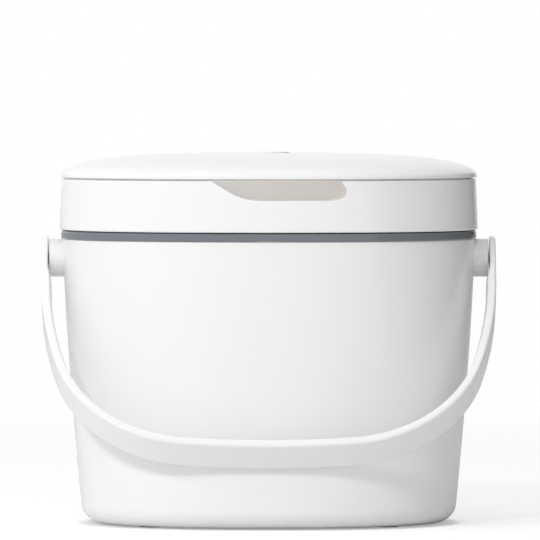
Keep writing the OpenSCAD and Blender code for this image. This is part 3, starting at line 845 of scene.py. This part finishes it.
class CADDY_OT_handle(bpy.types.Operator):
    """Handle: bail with two round ears, bowed arms, tight corners and a wide grip"""

    bl_idname = "caddy.handle"
    bl_label = "Handle"

    def execute(self, context):
        m = Measures()
        slot = "shell_white"
        thick = 3.6
        ear_out = corners("handle")[1][0]
        path = self.path(m, ear_out - 0.02)
        path += [(-x, h, math.pi - a, w) for x, h, a, w in reversed(path[:-1])]
        line = bpy.data.meshes.new("path")
        line.from_pydata([(x * MM, w, h * MM) for x, h, a, w in path], [], [])
        for name, values in (("heading", [p[2] for p in path]), ("swell", [self.swell(p[1]) for p in path])):
            line.attributes.new(name, "FLOAT", "POINT").data.foreach_set("value", values)
        section = temporary(points_mesh(self.section(m, thick - 0.05)))
        band = through_nodes(tree_of(band_tree), line, {"Section": section, "Material": finish(slot)})
        discard(section)
        work = bmesh.new()
        work.from_mesh(band)
        bmesh.ops.holes_fill(work, edges=[e for e in work.edges if e.is_boundary])
        bmesh.ops.recalc_face_normals(work, faces=work.faces)
        bpy.data.meshes.remove(band)
        mesh = as_mesh(work, slot)

        r = m.ear / 2
        ear = [(0, 0), (r, 0), (r, thick), (0, thick)]
        bore = [(0, -6), (PIN_BORE, -6), (PIN_BORE, 2.25), (5.95, 2.25), (5.95, 3.2), (6.3, 3.65), (6.3, 6), (0, 6)]
        for about in HALF_TURNS:
            place = about @ along_x(ear_out - thick, 0, 0)
            mesh = cut(mesh, turned(ear, slot, 128, place, [0, 0.5, 2.2, 0], steps=8), "UNION")
            mesh = cut(mesh, turned(bore, slot, 96, place))
        mesh.transform(
            Matrix.Translation((0, 0, PIVOT_Z * MM)) @ Matrix.Rotation(math.pi / 2 + hang_angle(), 4, "X")
        )
        piece_of("handle_bail", crisp(mesh), "handle", slot, "handle")

        pin_low, pin_high = corners("handle_pin_right")
        neck = pin_high[0] - pin_low[0] - 1.2
        head = [(3.5, 0), (5.75, 0), (5.75, 0.7), (5.6, 1.0), (5.2, 1.2), (1.6, 1.2), (1.2, 0.9), (0, 0.85)]
        pin = [(0, 0), (2.9, 0), (3.5, 0.6)] + [(r, neck + h) for r, h in head]
        for name, about in zip(("handle_pin_right", "handle_pin_left"), HALF_TURNS):
            rod = turned(pin, slot, 64, about @ along_x(pin_low[0], 0, PIVOT_Z))
            piece_of(name + "_turned", crisp(rod), "bucket", slot, name)
        return {"FINISHED"}

    def swell(self, h):
        """Share of its full thickness that the band has at a height above the pivots."""
        f = min(1, max(0, (h - 12.4) / 12))
        return f * f * (3 - 2 * f)

    def path(self, m, ear_x):
        """Half the arch from the right ear to the crown: x, height, heading, and width as a share."""
        arm_r, splay, turn_from, corner_r, turn_to = 228, 6, 16.5, 87, 85
        x, h = ear_x, arm_r * math.sin(math.radians(splay))
        places = [(x, -4 + (h + 4) * i / 13, 0.0) for i in range(13)]
        for radius, start, stop, steps in (
            (arm_r, 0, turn_from, 40), (corner_r, turn_from, turn_to, 40), (None, turn_to, 90, 14),
        ):
            headings = [math.radians(start + (stop - start) * i / steps) for i in range(steps + 1)]
            first = headings[0]
            radius = radius or x / math.cos(first)
            bend = [
                (x + radius * (math.cos(a) - math.cos(first)), h + radius * (math.sin(a) - math.sin(first)), a)
                for a in headings
            ]
            places += bend[:-1]
            x, h, _ = bend[-1]
        return [(x, h, a, self.width_share(m, h)) for x, h, a in places + bend[-1:]]

    def width_share(self, m, h):
        """Width of the band as a share of its full width: it flares into the ear with a fillet."""
        if h < 0:
            return 0.9
        half, blend = m.band_width / 2, 2.6
        disc = math.sqrt(max(0, (m.ear / 2 - 0.4) ** 2 - h * h))
        gap = max(0, blend - abs(disc - half)) / blend
        return (max(disc if h < 12 else 0, half) + gap ** 3 * blend / 6) / half

    def section(self, m, ear_depth):
        """Section of the band: depth at the ear, place across, and depth where the band is full."""
        half, slope = m.band_width / 2, 4.5
        rows = []
        for edge, middle in ((ear_depth, ear_depth + 0.02), (m.band_edge, m.band_thickness)):
            outline = [Vector(p) for p in (
                (0, half), (0, -half), (edge, -half), (middle, slope - half), (middle, half - slope), (edge, half),
            )]
            rows.append(rounded(outline, [1.7, 1.7, 1.2, 3, 3, 1.2], closed=True, steps=6, plane=(0, 1)))
        loop = [Vector((a[0], b[1], b[0])) for a, b in zip(*rows)]
        return loop + loop[:1]


class CADDY_OT_liner_ring(bpy.types.Operator):
    """Liner ring: hollow-curved collar, flange and skirt, bag holes, tab, ribs and hinge cradles"""

    bl_idname = "caddy.liner_ring"
    bl_label = "Liner ring"

    def execute(self, context):
        m = Measures()
        slot = "ring_grey"
        foot_z = RING_LOW[2]
        skirt_foot = inset(m.skirt, 0.6)
        face = [m.flange_z + (m.collar_z - m.flange_z) * i / 28 for i in range(29)]
        collar_foot = m.collar(m.flange_z)
        points = [
            at(inset(skirt_foot, m.wall), foot_z), at(skirt_foot, foot_z), at(m.skirt, m.rim_z - 1),
            at(inset(m.skirt, 0.8), m.rim_z - 0.9), at(inset(m.skirt, 0.8), m.rim_z),
            at(m.flange, m.rim_z), at(m.flange, m.flange_z),
        ]
        radii = [0.5, 0.7, 0.15, 0.2, 0.2, 0.6, 0.9]
        points += [at(m.collar(z), z) for z in face]
        radii += [1.2] + [0] * (len(face) - 2) + [0.8]
        points += [at(inset(m.collar(z), m.wall), z) for z in reversed(face)]
        radii += [0.6] + [0] * (len(face) - 1)
        points += [at(inset(collar_foot, m.wall), m.rim_z + 1), at(inset(m.skirt, m.wall), m.rim_z - 1)]
        radii += [0.6, 0.6]
        profile = rounded(points, radii, closed=True, steps=5, support=0.35)
        mesh = shell(profile + profile[:1], slot, m.around, m.power)

        hole_z = m.flange_z + 16.2

        def circle(grow):
            half_step = math.pi / 96
            return arc((0, hole_z), m.bag_hole / 2 + grow, half_step, 2 * math.pi - half_step, 95)

        def wall(x, z):
            return m.depth(m.collar(z), x)

        flare = 0.75
        steps = lip_steps(flare, m.wall, flare / 2, 5) + [(flare / 2, m.wall + 2)]
        for side in (-1, 1):
            mesh = cut(mesh, stacked(against(circle, wall, steps, side), slot, strips=True))
        # The bead's section: growth from the hole's edge, and depth into the wall
        bead = ((1.9, 0.5), (1.9, -0.1), (1.7, -0.4), (1.3, -0.55), (0.95, -0.4), (0.85, 0), (0.85, 0.5))
        lip = stacked(against(circle, wall, bead), slot, closed=True)
        parts = [crisp(mesh), crisp(lip, 60), self.tab(m, slot)] + self.ribs(m, slot) + self.hinge(m, slot)
        piece_of("liner_ring_moulding", combined(parts), "ring", slot, "liner_ring")
        return {"FINISHED"}

    def tab(self, m, slot):
        """Small tab at the front, standing on the flange with rounded upper corners."""
        front = inset(m.collar(m.flange_z), -1.6)
        low, high, radius, edge = m.flange_z - 0.4, m.flange_z + 5.4, 2.5, 0.7

        def outline(grow):
            half, r = m.tab_width / 2 + grow, radius + grow
            corner = arc((half - r, high + grow - r), r, 0, math.pi / 2, 8)
            top = [(x, high + grow) for x in (half * 0.5, 0, -half * 0.5)]
            return [(half, low)] + corner + top + [(-x, z) for x, z in reversed(corner)] + [(-half, low)]

        def face(x, z):
            return m.depth(front, x)

        def collar(x, z):
            return m.depth(m.collar(max(z, m.flange_z)), x)

        steps = [(-edge * along, edge * down) for along, down in quarter_round(5)]
        loops = against(outline, face, steps) + against(outline, collar, [(0, 0.9)])
        return crisp(stacked(loops, slot), 50)

    def ribs(self, m, slot):
        """Centring ribs low on the skirt, one round each corner, with ends that run out."""
        top, tall = m.rim_z - 6.4, 4.2
        inner_x, outer_x = m.skirt[0] * 0.76, m.skirt[0] * 0.965
        angles = [math.acos((x / m.skirt[0]) ** (m.power / 2)) for x in (outer_x, inner_x)]
        ribs = []
        for turn in ((1, 1), (-1, 1), (-1, -1), (1, -1)):
            loops = []
            for i in range(33):
                f = i / 32
                angle = angles[0] + (angles[1] - angles[0]) * f
                rise = min(1, 10 * f, 10 * (1 - f))
                proud = 0.5 * math.sin(math.pi / 2 * rise) - 0.4 * (1 - rise)
                loop = []
                lower = [(-0.9, 0), (proud - 0.5, 0), (proud - 0.15, 0.15), (proud, 0.5)]
                for offset, z in lower + [(out, tall - up) for out, up in reversed(lower)]:
                    x, y = m.place(inset(m.skirt, -offset), angle)
                    loop.append(Vector((turn[0] * x, turn[1] * y, top - tall + z)))
                loops.append(loop)
            ribs.append(crisp(stacked(loops, slot), 50))
        return ribs

    def hinge(self, m, slot):
        """Tongue, stop ledge and the two open cradles that the hinge pin drops into."""
        back, half, overlap = RING_HIGH[1], corners("hinge_pin")[1][0], 0.03
        drop, lift, r = 1.8, 2.2, 4.1
        ledge_z, top = HINGE_Z - drop, HINGE_Z + lift
        foot, ledge_front = m.collar(m.flange_z)[1] - 0.4, HINGE_Y + 4.5
        tongue_top, ledge_low, ledge_back = m.flange_z - overlap, m.rim_z + 2, back - overlap
        tongue = [(foot, m.rim_z), (back, m.rim_z), (back, tongue_top), (foot, tongue_top)]
        ledge = [(ledge_front, ledge_low), (ledge_back, ledge_low), (ledge_back, ledge_z), (ledge_front, ledge_z)]
        parts = [
            crisp(prism(tongue, -half, half, slot, 0.5)),
            crisp(prism(ledge, overlap - half, half - overlap, slot, 0.4)),
        ]
        right = arc((HINGE_Y, HINGE_Z), r, -math.asin(drop / r), math.asin(lift / r), 8)
        seat = arc((HINGE_Y, HINGE_Z), HINGE_BORE, 0, -math.pi, 16)
        inside, outside = HINGE_Y - 4, back - 2 * overlap
        cradle = [(inside, m.flange_z - 2), (outside, m.flange_z - 2), (outside, ledge_z - overlap)] + right
        cradle += [(HINGE_Y + HINGE_BORE, top)] + seat + [(HINGE_Y - HINGE_BORE, top)]
        cradle += [(2 * HINGE_Y - y, z) for y, z in reversed(right)] + [(inside, ledge_z - overlap)]
        near, far = 12.5, 23.5
        for low, high in ((near, far), (-far, -near)):
            parts.append(crisp(prism(cradle, low, high, slot, 0.25)))
        return parts


class CADDY_OT_hinge_pin(bpy.types.Operator):
    """Hinge pin: steel rod with chamfered ends"""

    bl_idname = "caddy.hinge_pin"
    bl_label = "Hinge pin"

    def execute(self, context):
        half = corners("hinge_pin")[1][0]
        pairs = [(0, 0), (1.6, 0), (2, 0.4), (2, 2 * half - 0.4), (1.6, 2 * half), (0, 2 * half)]
        rod = turned(pairs, "pin_steel", 48, along_x(-half, HINGE_Y, HINGE_Z))
        piece_of("hinge_rod", crisp(rod), "hinge_pin", "pin_steel", "hinge_pin")
        return {"FINISHED"}


class CADDY_OT_lid_frame(bpy.types.Operator):
    """Lid frame: skirt with the finger recess, deck with the filter opening, and hinge knuckles"""

    bl_idname = "caddy.lid_frame"
    bl_label = "Lid frame"

    def execute(self, context):
        m = Measures()
        slot = "shell_white"
        wall = 2
        outer = [at(m.lid_skirt(z), z) for z in (m.lid_z + (m.seam_z - m.lid_z) * i / 12 for i in range(13))]
        seam = inset(m.lid_top, 2)
        points = [Vector((0, 0, m.deck_z)), at(inset(m.lid_top, wall + 12), m.deck_z)]
        points += [at(inset(m.lid_top, wall), m.deck_z), at(inset(m.lid_low, wall), m.lid_z)] + outer
        points += [at(seam, m.seam_z), at(seam, m.brim_z), Vector((0, 0, m.brim_z))]
        radii = [0, 0, 1.0, 0.6, 0.9] + [0] * 11 + [0.35, 0, 0, 0]
        mesh = shell(rounded(points, radii, steps=5, support=0.4), slot, m.around, m.power)

        sweep = self.sweep(m)
        top = m.brim_z + 0.6

        def window(grow):
            lower = []
            for i, (x, z) in enumerate(sweep):
                before, after = sweep[max(0, i - 1)], sweep[min(len(sweep) - 1, i + 1)]
                along = Vector((after[0] - before[0], after[1] - before[1])).normalized()
                lower.append((x + grow * along[1], min(top - 0.1, z - grow * along[0])))
            left, right, last = lower[0][0], lower[-1][0], len(lower) - 1
            return lower + [(left + (right - left) * i / last, top) for i in range(last, -1, -1)]

        def front(x, z):
            return m.depth(m.lid_skirt(max(z, m.lid_z)), x)

        def liner_window(grow):
            return [(x, min(z, m.brim_z - 0.5)) for x, z in window(grow)]

        behind = 6.4
        liner = against(liner_window, front, [(wall, 1.0), (wall, behind - 0.6), (wall - 0.6, behind)])
        mesh = cut(mesh, stacked(liner, slot, strips=True), "UNION")

        # The recess is deepest at its lower edge and runs out towards the brim
        run_out = 0.94

        def share(z):
            return 1 - run_out * min(1, max(0, (z - m.brim_z + m.recess_height) / m.recess_height))

        recess = against(window, front, lip_steps(0.4, m.recess_depth, -1.2, 6), share=share)
        mesh = cut(mesh, stacked(recess, slot, strips=True))

        middle, outer_low, half, r = 12, 24, corners("hinge_pin")[1][0], 4
        for low, high in ((-middle, middle), (outer_low, half), (-half, -outer_low)):
            knuckle = [(0, 0), (r, 0), (r, high - low), (0, high - low)]
            place = along_x(low, HINGE_Y, HINGE_Z)
            mesh = cut(mesh, turned(knuckle, slot, 64, place, [0, 0.5, 0.5, 0]), "UNION")
        notch_low, notch_high, notch_half = m.lid_z - 3, HINGE_Z + 4.6, 5.95
        front_y, back_y = HINGE_Y - 14, HINGE_Y + 14
        block = [(front_y, notch_low), (back_y, notch_low), (back_y, notch_high), (front_y, notch_high)]
        for x in (-18, 18):
            mesh = cut(mesh, prism(block, x - notch_half, x + notch_half, slot, 0.01))
        bore = [(0, 0), (HINGE_BORE, 0), (HINGE_BORE, 2 * half + 8), (0, 2 * half + 8)]
        mesh = cut(mesh, turned(bore, slot, 64, along_x(-half - 4, HINGE_Y, HINGE_Z)))
        opening = [rounded_rectangle(*FILTER_OPENING, 10, z) for z in (m.deck_z - 2, m.brim_z + 2)]
        mesh = cut(mesh, stacked(opening, slot))
        piece = piece_of("lid_skirt_and_deck", crisp(mesh), "lid", slot, "lid_frame")
        # Faces of the recess's wall get the greyer finish: painted shade of the recess
        piece.data.materials.append(recess_painted_shade_abs())
        for face in piece.data.polygons:
            x, y, z = face.center / MM
            in_window = abs(x) < m.recess_width / 2 and m.brim_z - m.recess_height - 0.3 < z < m.seam_z
            if in_window and face.normal[1] < -0.3 and 0.12 < front(x, z) + y < m.recess_depth + 0.1:
                face.material_index = 1
        return {"FINISHED"}

    def sweep(self, m):
        """The recess's lower edge from left to right: a slow S down to a flat run, then a round end.
        Points are the distance right of the middle and the share of the recess's height below the brim."""
        marks = [
            (-0.384, -0.02), (-0.345, 0.17), (-0.271, 0.5), (-0.2, 0.78), (-0.113, 0.955), (0, 1), (0.12, 1),
            (0.24, 1), (0.345, 1), (0.415, 0.975), (0.468, 0.86), (0.495, 0.66), (0.49, 0.42), (0.47, 0.2),
            (0.452, -0.02),
        ]
        marks = [Vector((x * m.recess_width, m.brim_z - drop * m.recess_height)) for x, drop in marks]
        curve = []
        # A smooth curve through every mark, bent by the marks before and after each stretch
        for start, a, b, end in zip(marks[:1] + marks, marks, marks[1:], marks[2:] + marks[-1:]):
            for k in range(8):
                t = k / 8
                curve.append(tuple(0.5 * (
                    2 * a + (b - start) * t + (2 * start - 5 * a + 4 * b - end) * t ** 2
                    + (3 * a - start - 3 * b + end) * t ** 3
                )))
        return curve + [tuple(marks[-1])]


class CADDY_OT_lid_cover(bpy.types.Operator):
    """Lid cover: flat-topped dome with a crisp brim, and the low disc in its middle"""

    bl_idname = "caddy.lid_cover"
    bl_label = "Lid cover"

    def execute(self, context):
        m = Measures()
        slot = "shell_white"
        thick, rib_in = 1.8, 7.4

        def dome(s, t):
            drop = m.dome_height * (1 - math.sqrt(max(0, 1 - s ** 3.6)))
            return Vector((s * m.brim[0], s * m.brim[1], m.crest_z - drop - t))

        shares = [math.sin(math.pi / 2 * i / 56) for i in range(57)]
        rib_back, rib_out = inset(m.brim, rib_in + thick), inset(m.brim, rib_in)
        inner = [dome(s, thick) for s in shares if s * m.brim[1] < rib_back[1] - 2]
        rib_top = dome(rib_back[1] / m.brim[1], thick)[2]
        edge = inset(m.brim, thick + 1)
        profile = inner + [
            at(rib_back, rib_top), at(rib_back, m.brim_z), at(rib_out, m.brim_z), at(rib_out, rib_top - 0.9),
            at(edge, m.brim_z + thick), at(edge, m.brim_z),
        ]
        lip = rounded(
            [at(edge, m.brim_z), at(m.brim, m.brim_z), at(m.brim, m.brim_z + 1.2)], [0, 0.4, 0], steps=5, support=0.3
        )
        profile += lip[1:] + [dome(s, 0) for s in reversed(shares[:-1])]
        mesh = shell(profile, slot, m.around, m.power)
        disc_low, disc_high = corners("cover_disc")
        r, low, high = m.disc / 2, disc_low[2], disc_high[2] - 0.001
        seat, above = r + 0.15, m.crest_z + 5
        mesh = cut(mesh, turned([(0, low), (seat, low), (seat, above), (0, above)], slot, 128))
        piece_of("lid_dome", crisp(mesh), "lid", slot, "lid_cover")

        disc = [(0, low), (r, low), (r, high - 0.05), (r * 0.6, high), (0, high)]
        mesh = turned(disc, slot, 128, radii=[0, 0.2, 0.45, 0, 0], steps=5, support=0.3)
        piece_of("disc_on_cover", crisp(mesh), "lid", slot, "cover_disc")
        return {"FINISHED"}


class CADDY_OT_seal(bpy.types.Operator):
    """Seal: soft band under the deck with two lips that meet the ring's top edge"""

    bl_idname = "caddy.seal"
    bl_label = "Seal"

    def execute(self, context):
        m = Measures()
        slot = "seal_rubber"
        low, high = corners("lid_seal")
        outer, foot, top = Vector(high[:2]), low[2], high[2]
        profile = rounded([at(inset(outer, inward), z) for inward, z in (
            (0, foot + 0.3), (0, top), (6, top), (6, foot + 0.3), (5.2, foot), (4.2, foot), (3.4, foot + 0.5),
            (2.6, foot + 0.5), (1.8, foot), (0.8, foot),
        )], [0.2] * 10, closed=True, steps=3, support=0.05)
        mesh = shell(profile + profile[:1], slot, m.around, m.power)
        piece_of("lid_seal_lips", crisp(mesh), "lid", slot, "lid_seal")
        return {"FINISHED"}


class CADDY_OT_filter(bpy.types.Operator):
    """Filter: slotted tray that snaps into the deck, and the carbon pad inside it"""

    bl_idname = "caddy.filter"
    bl_label = "Filter"

    def execute(self, context):
        m = Measures()
        slot = "shell_white"
        low, high = corners("filter_tray")
        plate_z, top_z, joint_z = low[2], high[2], m.deck_z - 0.4
        across, deep = 99, 46
        plate = [rounded_rectangle(*row) for row in (
            (125, 73, 13.5, plate_z), (126, 74, 14, plate_z + 0.4), (126, 74, 14, m.deck_z - 0.02),
            (across, deep, 1, m.deck_z - 0.02), (across, deep, 1, plate_z + 0.3),
            (across + 0.6, deep + 0.6, 1.3, plate_z),
        )]
        width, depth = FILTER_OPENING
        walls = [rounded_rectangle(width - play, depth - play, radius, z) for play, radius, z in (
            (0.6, 10, joint_z), (0.6, 10, top_z - 0.3), (1.1, 9.8, top_z), (2.6, 9, top_z),
            (3, 8.8, top_z - 0.3), (3, 8.8, joint_z),
        )]
        end, bar_top = deep / 2 + 0.6, m.deck_z - 0.05
        bar = prism([(-end, plate_z), (end, plate_z), (end, bar_top), (-end, bar_top)], -1.5, 1.5, slot, 0.3)
        bars = copied(bar, [Vector((6 * i - 45, 0, 0)) for i in range(16)], slot)
        parts = [stacked(plate, slot, closed=True), stacked(walls, slot, closed=True), bars]
        piece_of("filter_tray_slotted", crisp(combined(parts), 25), "lid", slot, "filter_tray")

        slot = "filter_black"
        pad_low, pad_high = corners("filter_pad")
        bottom, tall = pad_low[2] + 0.05, pad_high[2] - pad_low[2] - 0.1
        steps = [(28, 0), (20, 0), (12, 0), (6, 0), (3, 0), (2, 0.1), (1, 0.5), (0.3, 1.4), (0.1, 2.6), (0.35, 3.5)]
        steps += [(0.1, 4.4), (0.3, 5.4), (1, 6.2), (2, 6.5), (3, 6.6), (6, 6.7), (12, 6.8), (20, tall), (28, tall)]
        loops = [self.felt_loop(2 * pad_high[0], 2 * pad_high[1], inward, bottom + up) for inward, up in steps]
        pad = piece_of("filter_pad_felt", stacked(loops, slot), "lid", slot, "filter_pad")
        return {"FINISHED"}

    def felt_loop(self, width, depth, inward, z):
        """One loop of the felt pad, its faces a little uneven."""
        radius = max(1.5, 8.8 - inward)
        loop = rounded_rectangle(width - 2 * inward, depth - 2 * inward, radius, z, steps=10)
        return [p + Vector((0, 0, 0.08 * noise.noise(p * 0.25))) for p in loop]


# --- Stage ----------------------------------------------------------------------------

def direct_rays(tree):
    """1 for the rays of the camera and for those that it sees through a reflection or a clear part."""
    rays = add(tree, "ShaderNodeLightPath").outputs
    seen = rays["Is Camera Ray"]
    for other in ("Is Glossy Ray", "Is Transmission Ray"):
        seen = add(tree, "ShaderNodeMath", {0: seen, 1: rays[other]}, operation="ADD")
    return add(tree, "ShaderNodeMath", {0: seen, 1: 1.0}, operation="MINIMUM")


def flat_sheet(name, places, material):
    """A flat stage piece over four places, in metres."""
    mesh = bpy.data.meshes.new(name)
    mesh.from_pydata(places, [], [(0, 1, 2, 3)])
    mesh.materials.append(material)
    sheet = in_scene(name, mesh)
    return sheet


class CADDY_OT_stage(bpy.types.Operator):
    """Stage: camera at the photograph's angle, white floor and soft studio light"""

    bl_idname = "caddy.stage"
    bl_label = "Stage"

    def execute(self, context):
        scene = context.scene
        self.camera(scene)
        self.world(scene)
        self.floor()
        self.softbox("key_softbox", 29, 31, 2.9, 0.4, 0.4, 24).visible_glossy = False
        self.softbox("top_softbox", 0, 85, 2.4, 1.2, 1.2, 7.5).visible_glossy = False
        self.softbox("window", 120, 8, 3.0, 1.3, 1.2, 6).visible_glossy = False
        self.softbox("bare_bulb", 64, 30, 2.9, 0.12, 0.12, 3.5)
        self.softbox("strip", 63, 14, 2.9, 0.1, 0.9, 0.7)
        self.flag("flag_beside", -0.3, 2.4, 0.65)
        self.flag("flag_ahead", -1.1, -0.3, 1.0).visible_diffuse = False
        scene.view_settings.view_transform = "Standard"
        return {"FINISHED"}

    def camera(self, scene):
        """Long lens a little above level with the caddy, framed as the photograph is."""
        lens = bpy.data.cameras.new("camera")
        lens.sensor_width = 36
        lens.lens = 522
        lens.clip_end = 50
        camera = in_scene("camera", lens)
        tilt, distance, aim, aside = math.radians(1.6), 4.7, 0.1516, 0.00072
        camera.location = (aside, -distance * math.cos(tilt), aim + distance * math.sin(tilt))
        camera.rotation_euler = (math.pi / 2 - tilt, 0, 0)
        scene.camera = camera

    def world(self, scene):
        """White for the camera and for reflections. Its soft light comes from all round, and more of it
        from the left and the front."""
        world = bpy.data.worlds.new("studio")
        world.use_nodes = True
        tree = world.node_tree
        tree.nodes.clear()
        way = add(tree, "ShaderNodeSeparateXYZ", {0: add(tree, "ShaderNodeTexCoord").outputs["Generated"]}).outputs
        soft = 0.385
        for axis, share, power in ((0, 0.3, 2), (1, 0.5, 4)):
            away = add(tree, "ShaderNodeMath", {0: 1.0, 1: way[axis]}, operation="SUBTRACT")
            facing = add(tree, "ShaderNodeMath", {0: away, 1: 0.5}, operation="MULTIPLY")
            glow = add(tree, "ShaderNodeMath", {0: facing, 1: power}, operation="POWER")
            extra = add(tree, "ShaderNodeMath", {0: glow, 1: share}, operation="MULTIPLY")
            soft = add(tree, "ShaderNodeMath", {0: extra, 1: soft}, operation="ADD")
        ambient = add(tree, "ShaderNodeBackground", {"Color": (1, 1, 1, 1), "Strength": soft})
        white = add(tree, "ShaderNodeBackground", {"Color": (1, 1, 1, 1), "Strength": 1.0})
        mixed = add(tree, "ShaderNodeMixShader", {0: direct_rays(tree), 1: ambient, 2: white})
        add(tree, "ShaderNodeOutputWorld", {"Surface": mixed})
        scene.world = world

    def floor(self):
        """White floor that keeps the shadow near the caddy and fades to plain white further off."""
        material, tree, where = surface("white_paper_sweep")
        camera_ray = add(tree, "ShaderNodeLightPath").outputs["Is Camera Ray"]
        grain = add(tree, "ShaderNodeTexNoise", {"Vector": where, "Scale": per(6), "Detail": 4.0})
        paper = add(tree, "ShaderNodeMix", {
            0: grain, 6: linear("#F0F0EF") + (1,), 7: linear("#F5F5F4") + (1,),
        }, data_type="RGBA")
        seen = add(tree, "ShaderNodeMix", {0: camera_ray, 6: paper, 7: (0.5, 0.5, 0.5, 1)}, data_type="RGBA")
        lit = add(tree, "ShaderNodeBsdfDiffuse", {"Color": seen})

        # The camera sees the paper lifted to white, and lifted less close under the base: a painted contact shade on
        # top of the real shadow there
        power, contact_shade_least, lifted = 2.25, 0.6, 0.6
        place = add(tree, "ShaderNodeSeparateXYZ", {0: where}).outputs
        reach = []
        for axis, half in enumerate((0.1125, 0.0855)):
            size = add(tree, "ShaderNodeMath", {0: place[axis]}, operation="ABSOLUTE")
            share = add(tree, "ShaderNodeMath", {0: size, 1: half}, operation="DIVIDE")
            reach.append(add(tree, "ShaderNodeMath", {0: share, 1: power}, operation="POWER"))
        clear = add(tree, "ShaderNodeMapRange", {
            "Value": add(tree, "ShaderNodeMath", {0: reach[0], 1: reach[1]}, operation="ADD"),
            "From Min": 0.94, "From Max": 1.12, "To Min": contact_shade_least,
        }, interpolation_type="SMOOTHSTEP")
        shown = add(tree, "ShaderNodeMath", {0: camera_ray, 1: clear}, operation="MULTIPLY")
        strength = add(tree, "ShaderNodeMath", {0: shown, 1: lifted}, operation="MULTIPLY")
        lift = add(tree, "ShaderNodeEmission", {"Color": (1, 1, 1, 1), "Strength": strength})
        near = add(tree, "ShaderNodeAddShader", {0: lit, 1: lift})

        away = add(tree, "ShaderNodeVectorMath", {0: where}, operation="LENGTH").outputs["Value"]
        far = add(tree, "ShaderNodeMapRange", {
            "Value": away, "From Min": 0.7, "From Max": 1.6,
        }, interpolation_type="SMOOTHSTEP")
        white = add(tree, "ShaderNodeEmission", {"Color": (1, 1, 1, 1), "Strength": 1.0})
        share = add(tree, "ShaderNodeMath", {0: far, 1: camera_ray}, operation="MULTIPLY")
        shaded(tree, add(tree, "ShaderNodeMixShader", {0: share, 1: near, 2: white}))
        side = 14
        flat_sheet("floor", [(-side, -side, 0), (side, -side, 0), (side, side, 0), (-side, side, 0)], material)

    def flag(self, name, front, back, top):
        """Dark brown cloth at the right, out of view, that keeps light off that side as a dark room does."""
        material, tree, where = surface("brown_cotton_cloth")
        weave = add(tree, "ShaderNodeTexNoise", {"Vector": where, "Scale": per(2), "Detail": 3.0})
        cloth = add(tree, "ShaderNodeMix", {
            0: weave, 6: linear("#2E231A") + (1,), 7: linear("#4A3A2C") + (1,),
        }, data_type="RGBA")
        shaded(tree, add(tree, "ShaderNodeBsdfDiffuse", {"Color": cloth}))
        away = 1.0
        places = [(away, y, z) for y, z in ((front, 0), (back, 0), (back, top), (front, top))]
        flag = flat_sheet(name, places, material)
        flag.visible_camera = False
        return flag

    def softbox(self, name, left, above, away, width, height, power):
        """White lamp aimed at the caddy, turned to the left of the camera and raised, in degrees."""
        target = Vector((0, 0, 0.17))
        left, above = math.radians(left), math.radians(above)
        flat = math.cos(above)
        place = target + away * Vector((-flat * math.sin(left), -flat * math.cos(left), math.sin(above)))
        lamp = bpy.data.lights.new(name, "AREA")
        lamp.shape = "RECTANGLE"
        lamp.size, lamp.size_y = width, height
        lamp.energy = power
        box = in_scene(name, lamp)
        box.location = place
        box.rotation_euler = (target - place).to_track_quat("-Z", "Y").to_euler()
        return box


class CADDY_PT_panel(bpy.types.Panel):
    """Sizes, colours and pieces of the caddy"""

    bl_idname = "CADDY_PT_panel"
    bl_label = "Compost caddy"
    bl_space_type = "VIEW_3D"
    bl_region_type = "UI"
    bl_category = "Caddy"

    def draw(self, context):
        layout = self.layout
        for group in (context.scene.caddy_sizes, context.scene.caddy_colours):
            box = layout.box()
            for name in group.__annotations__:
                box.prop(group, name)
        for operator in OPERATORS:
            layout.operator(operator.bl_idname)


OPERATORS = (
    CADDY_OT_stage, CADDY_OT_bucket, CADDY_OT_feet, CADDY_OT_handle, CADDY_OT_liner_ring, CADDY_OT_hinge_pin,
    CADDY_OT_lid_frame, CADDY_OT_lid_cover, CADDY_OT_seal, CADDY_OT_filter,
)
CLASSES = (CaddySizes, CaddyColours, *OPERATORS, CADDY_PT_panel)


def register():
    for cls in CLASSES:
        bpy.utils.register_class(cls)
    bpy.types.Scene.caddy_sizes = PointerProperty(type=CaddySizes)
    bpy.types.Scene.caddy_colours = PointerProperty(type=CaddyColours)


def unregister():
    del bpy.types.Scene.caddy_colours
    del bpy.types.Scene.caddy_sizes
    for cls in reversed(CLASSES):
        bpy.utils.unregister_class(cls)


def main():
    """Builds the stage and every piece."""
    register()
    bpy.ops.caddy.stage()
    bpy.ops.caddy.bucket()
    bpy.ops.caddy.feet()
    bpy.ops.caddy.handle()
    bpy.ops.caddy.liner_ring()
    bpy.ops.caddy.hinge_pin()
    bpy.ops.caddy.lid_frame()
    bpy.ops.caddy.lid_cover()
    bpy.ops.caddy.seal()
    bpy.ops.caddy.filter()


if __name__ == "__main__":
    main()
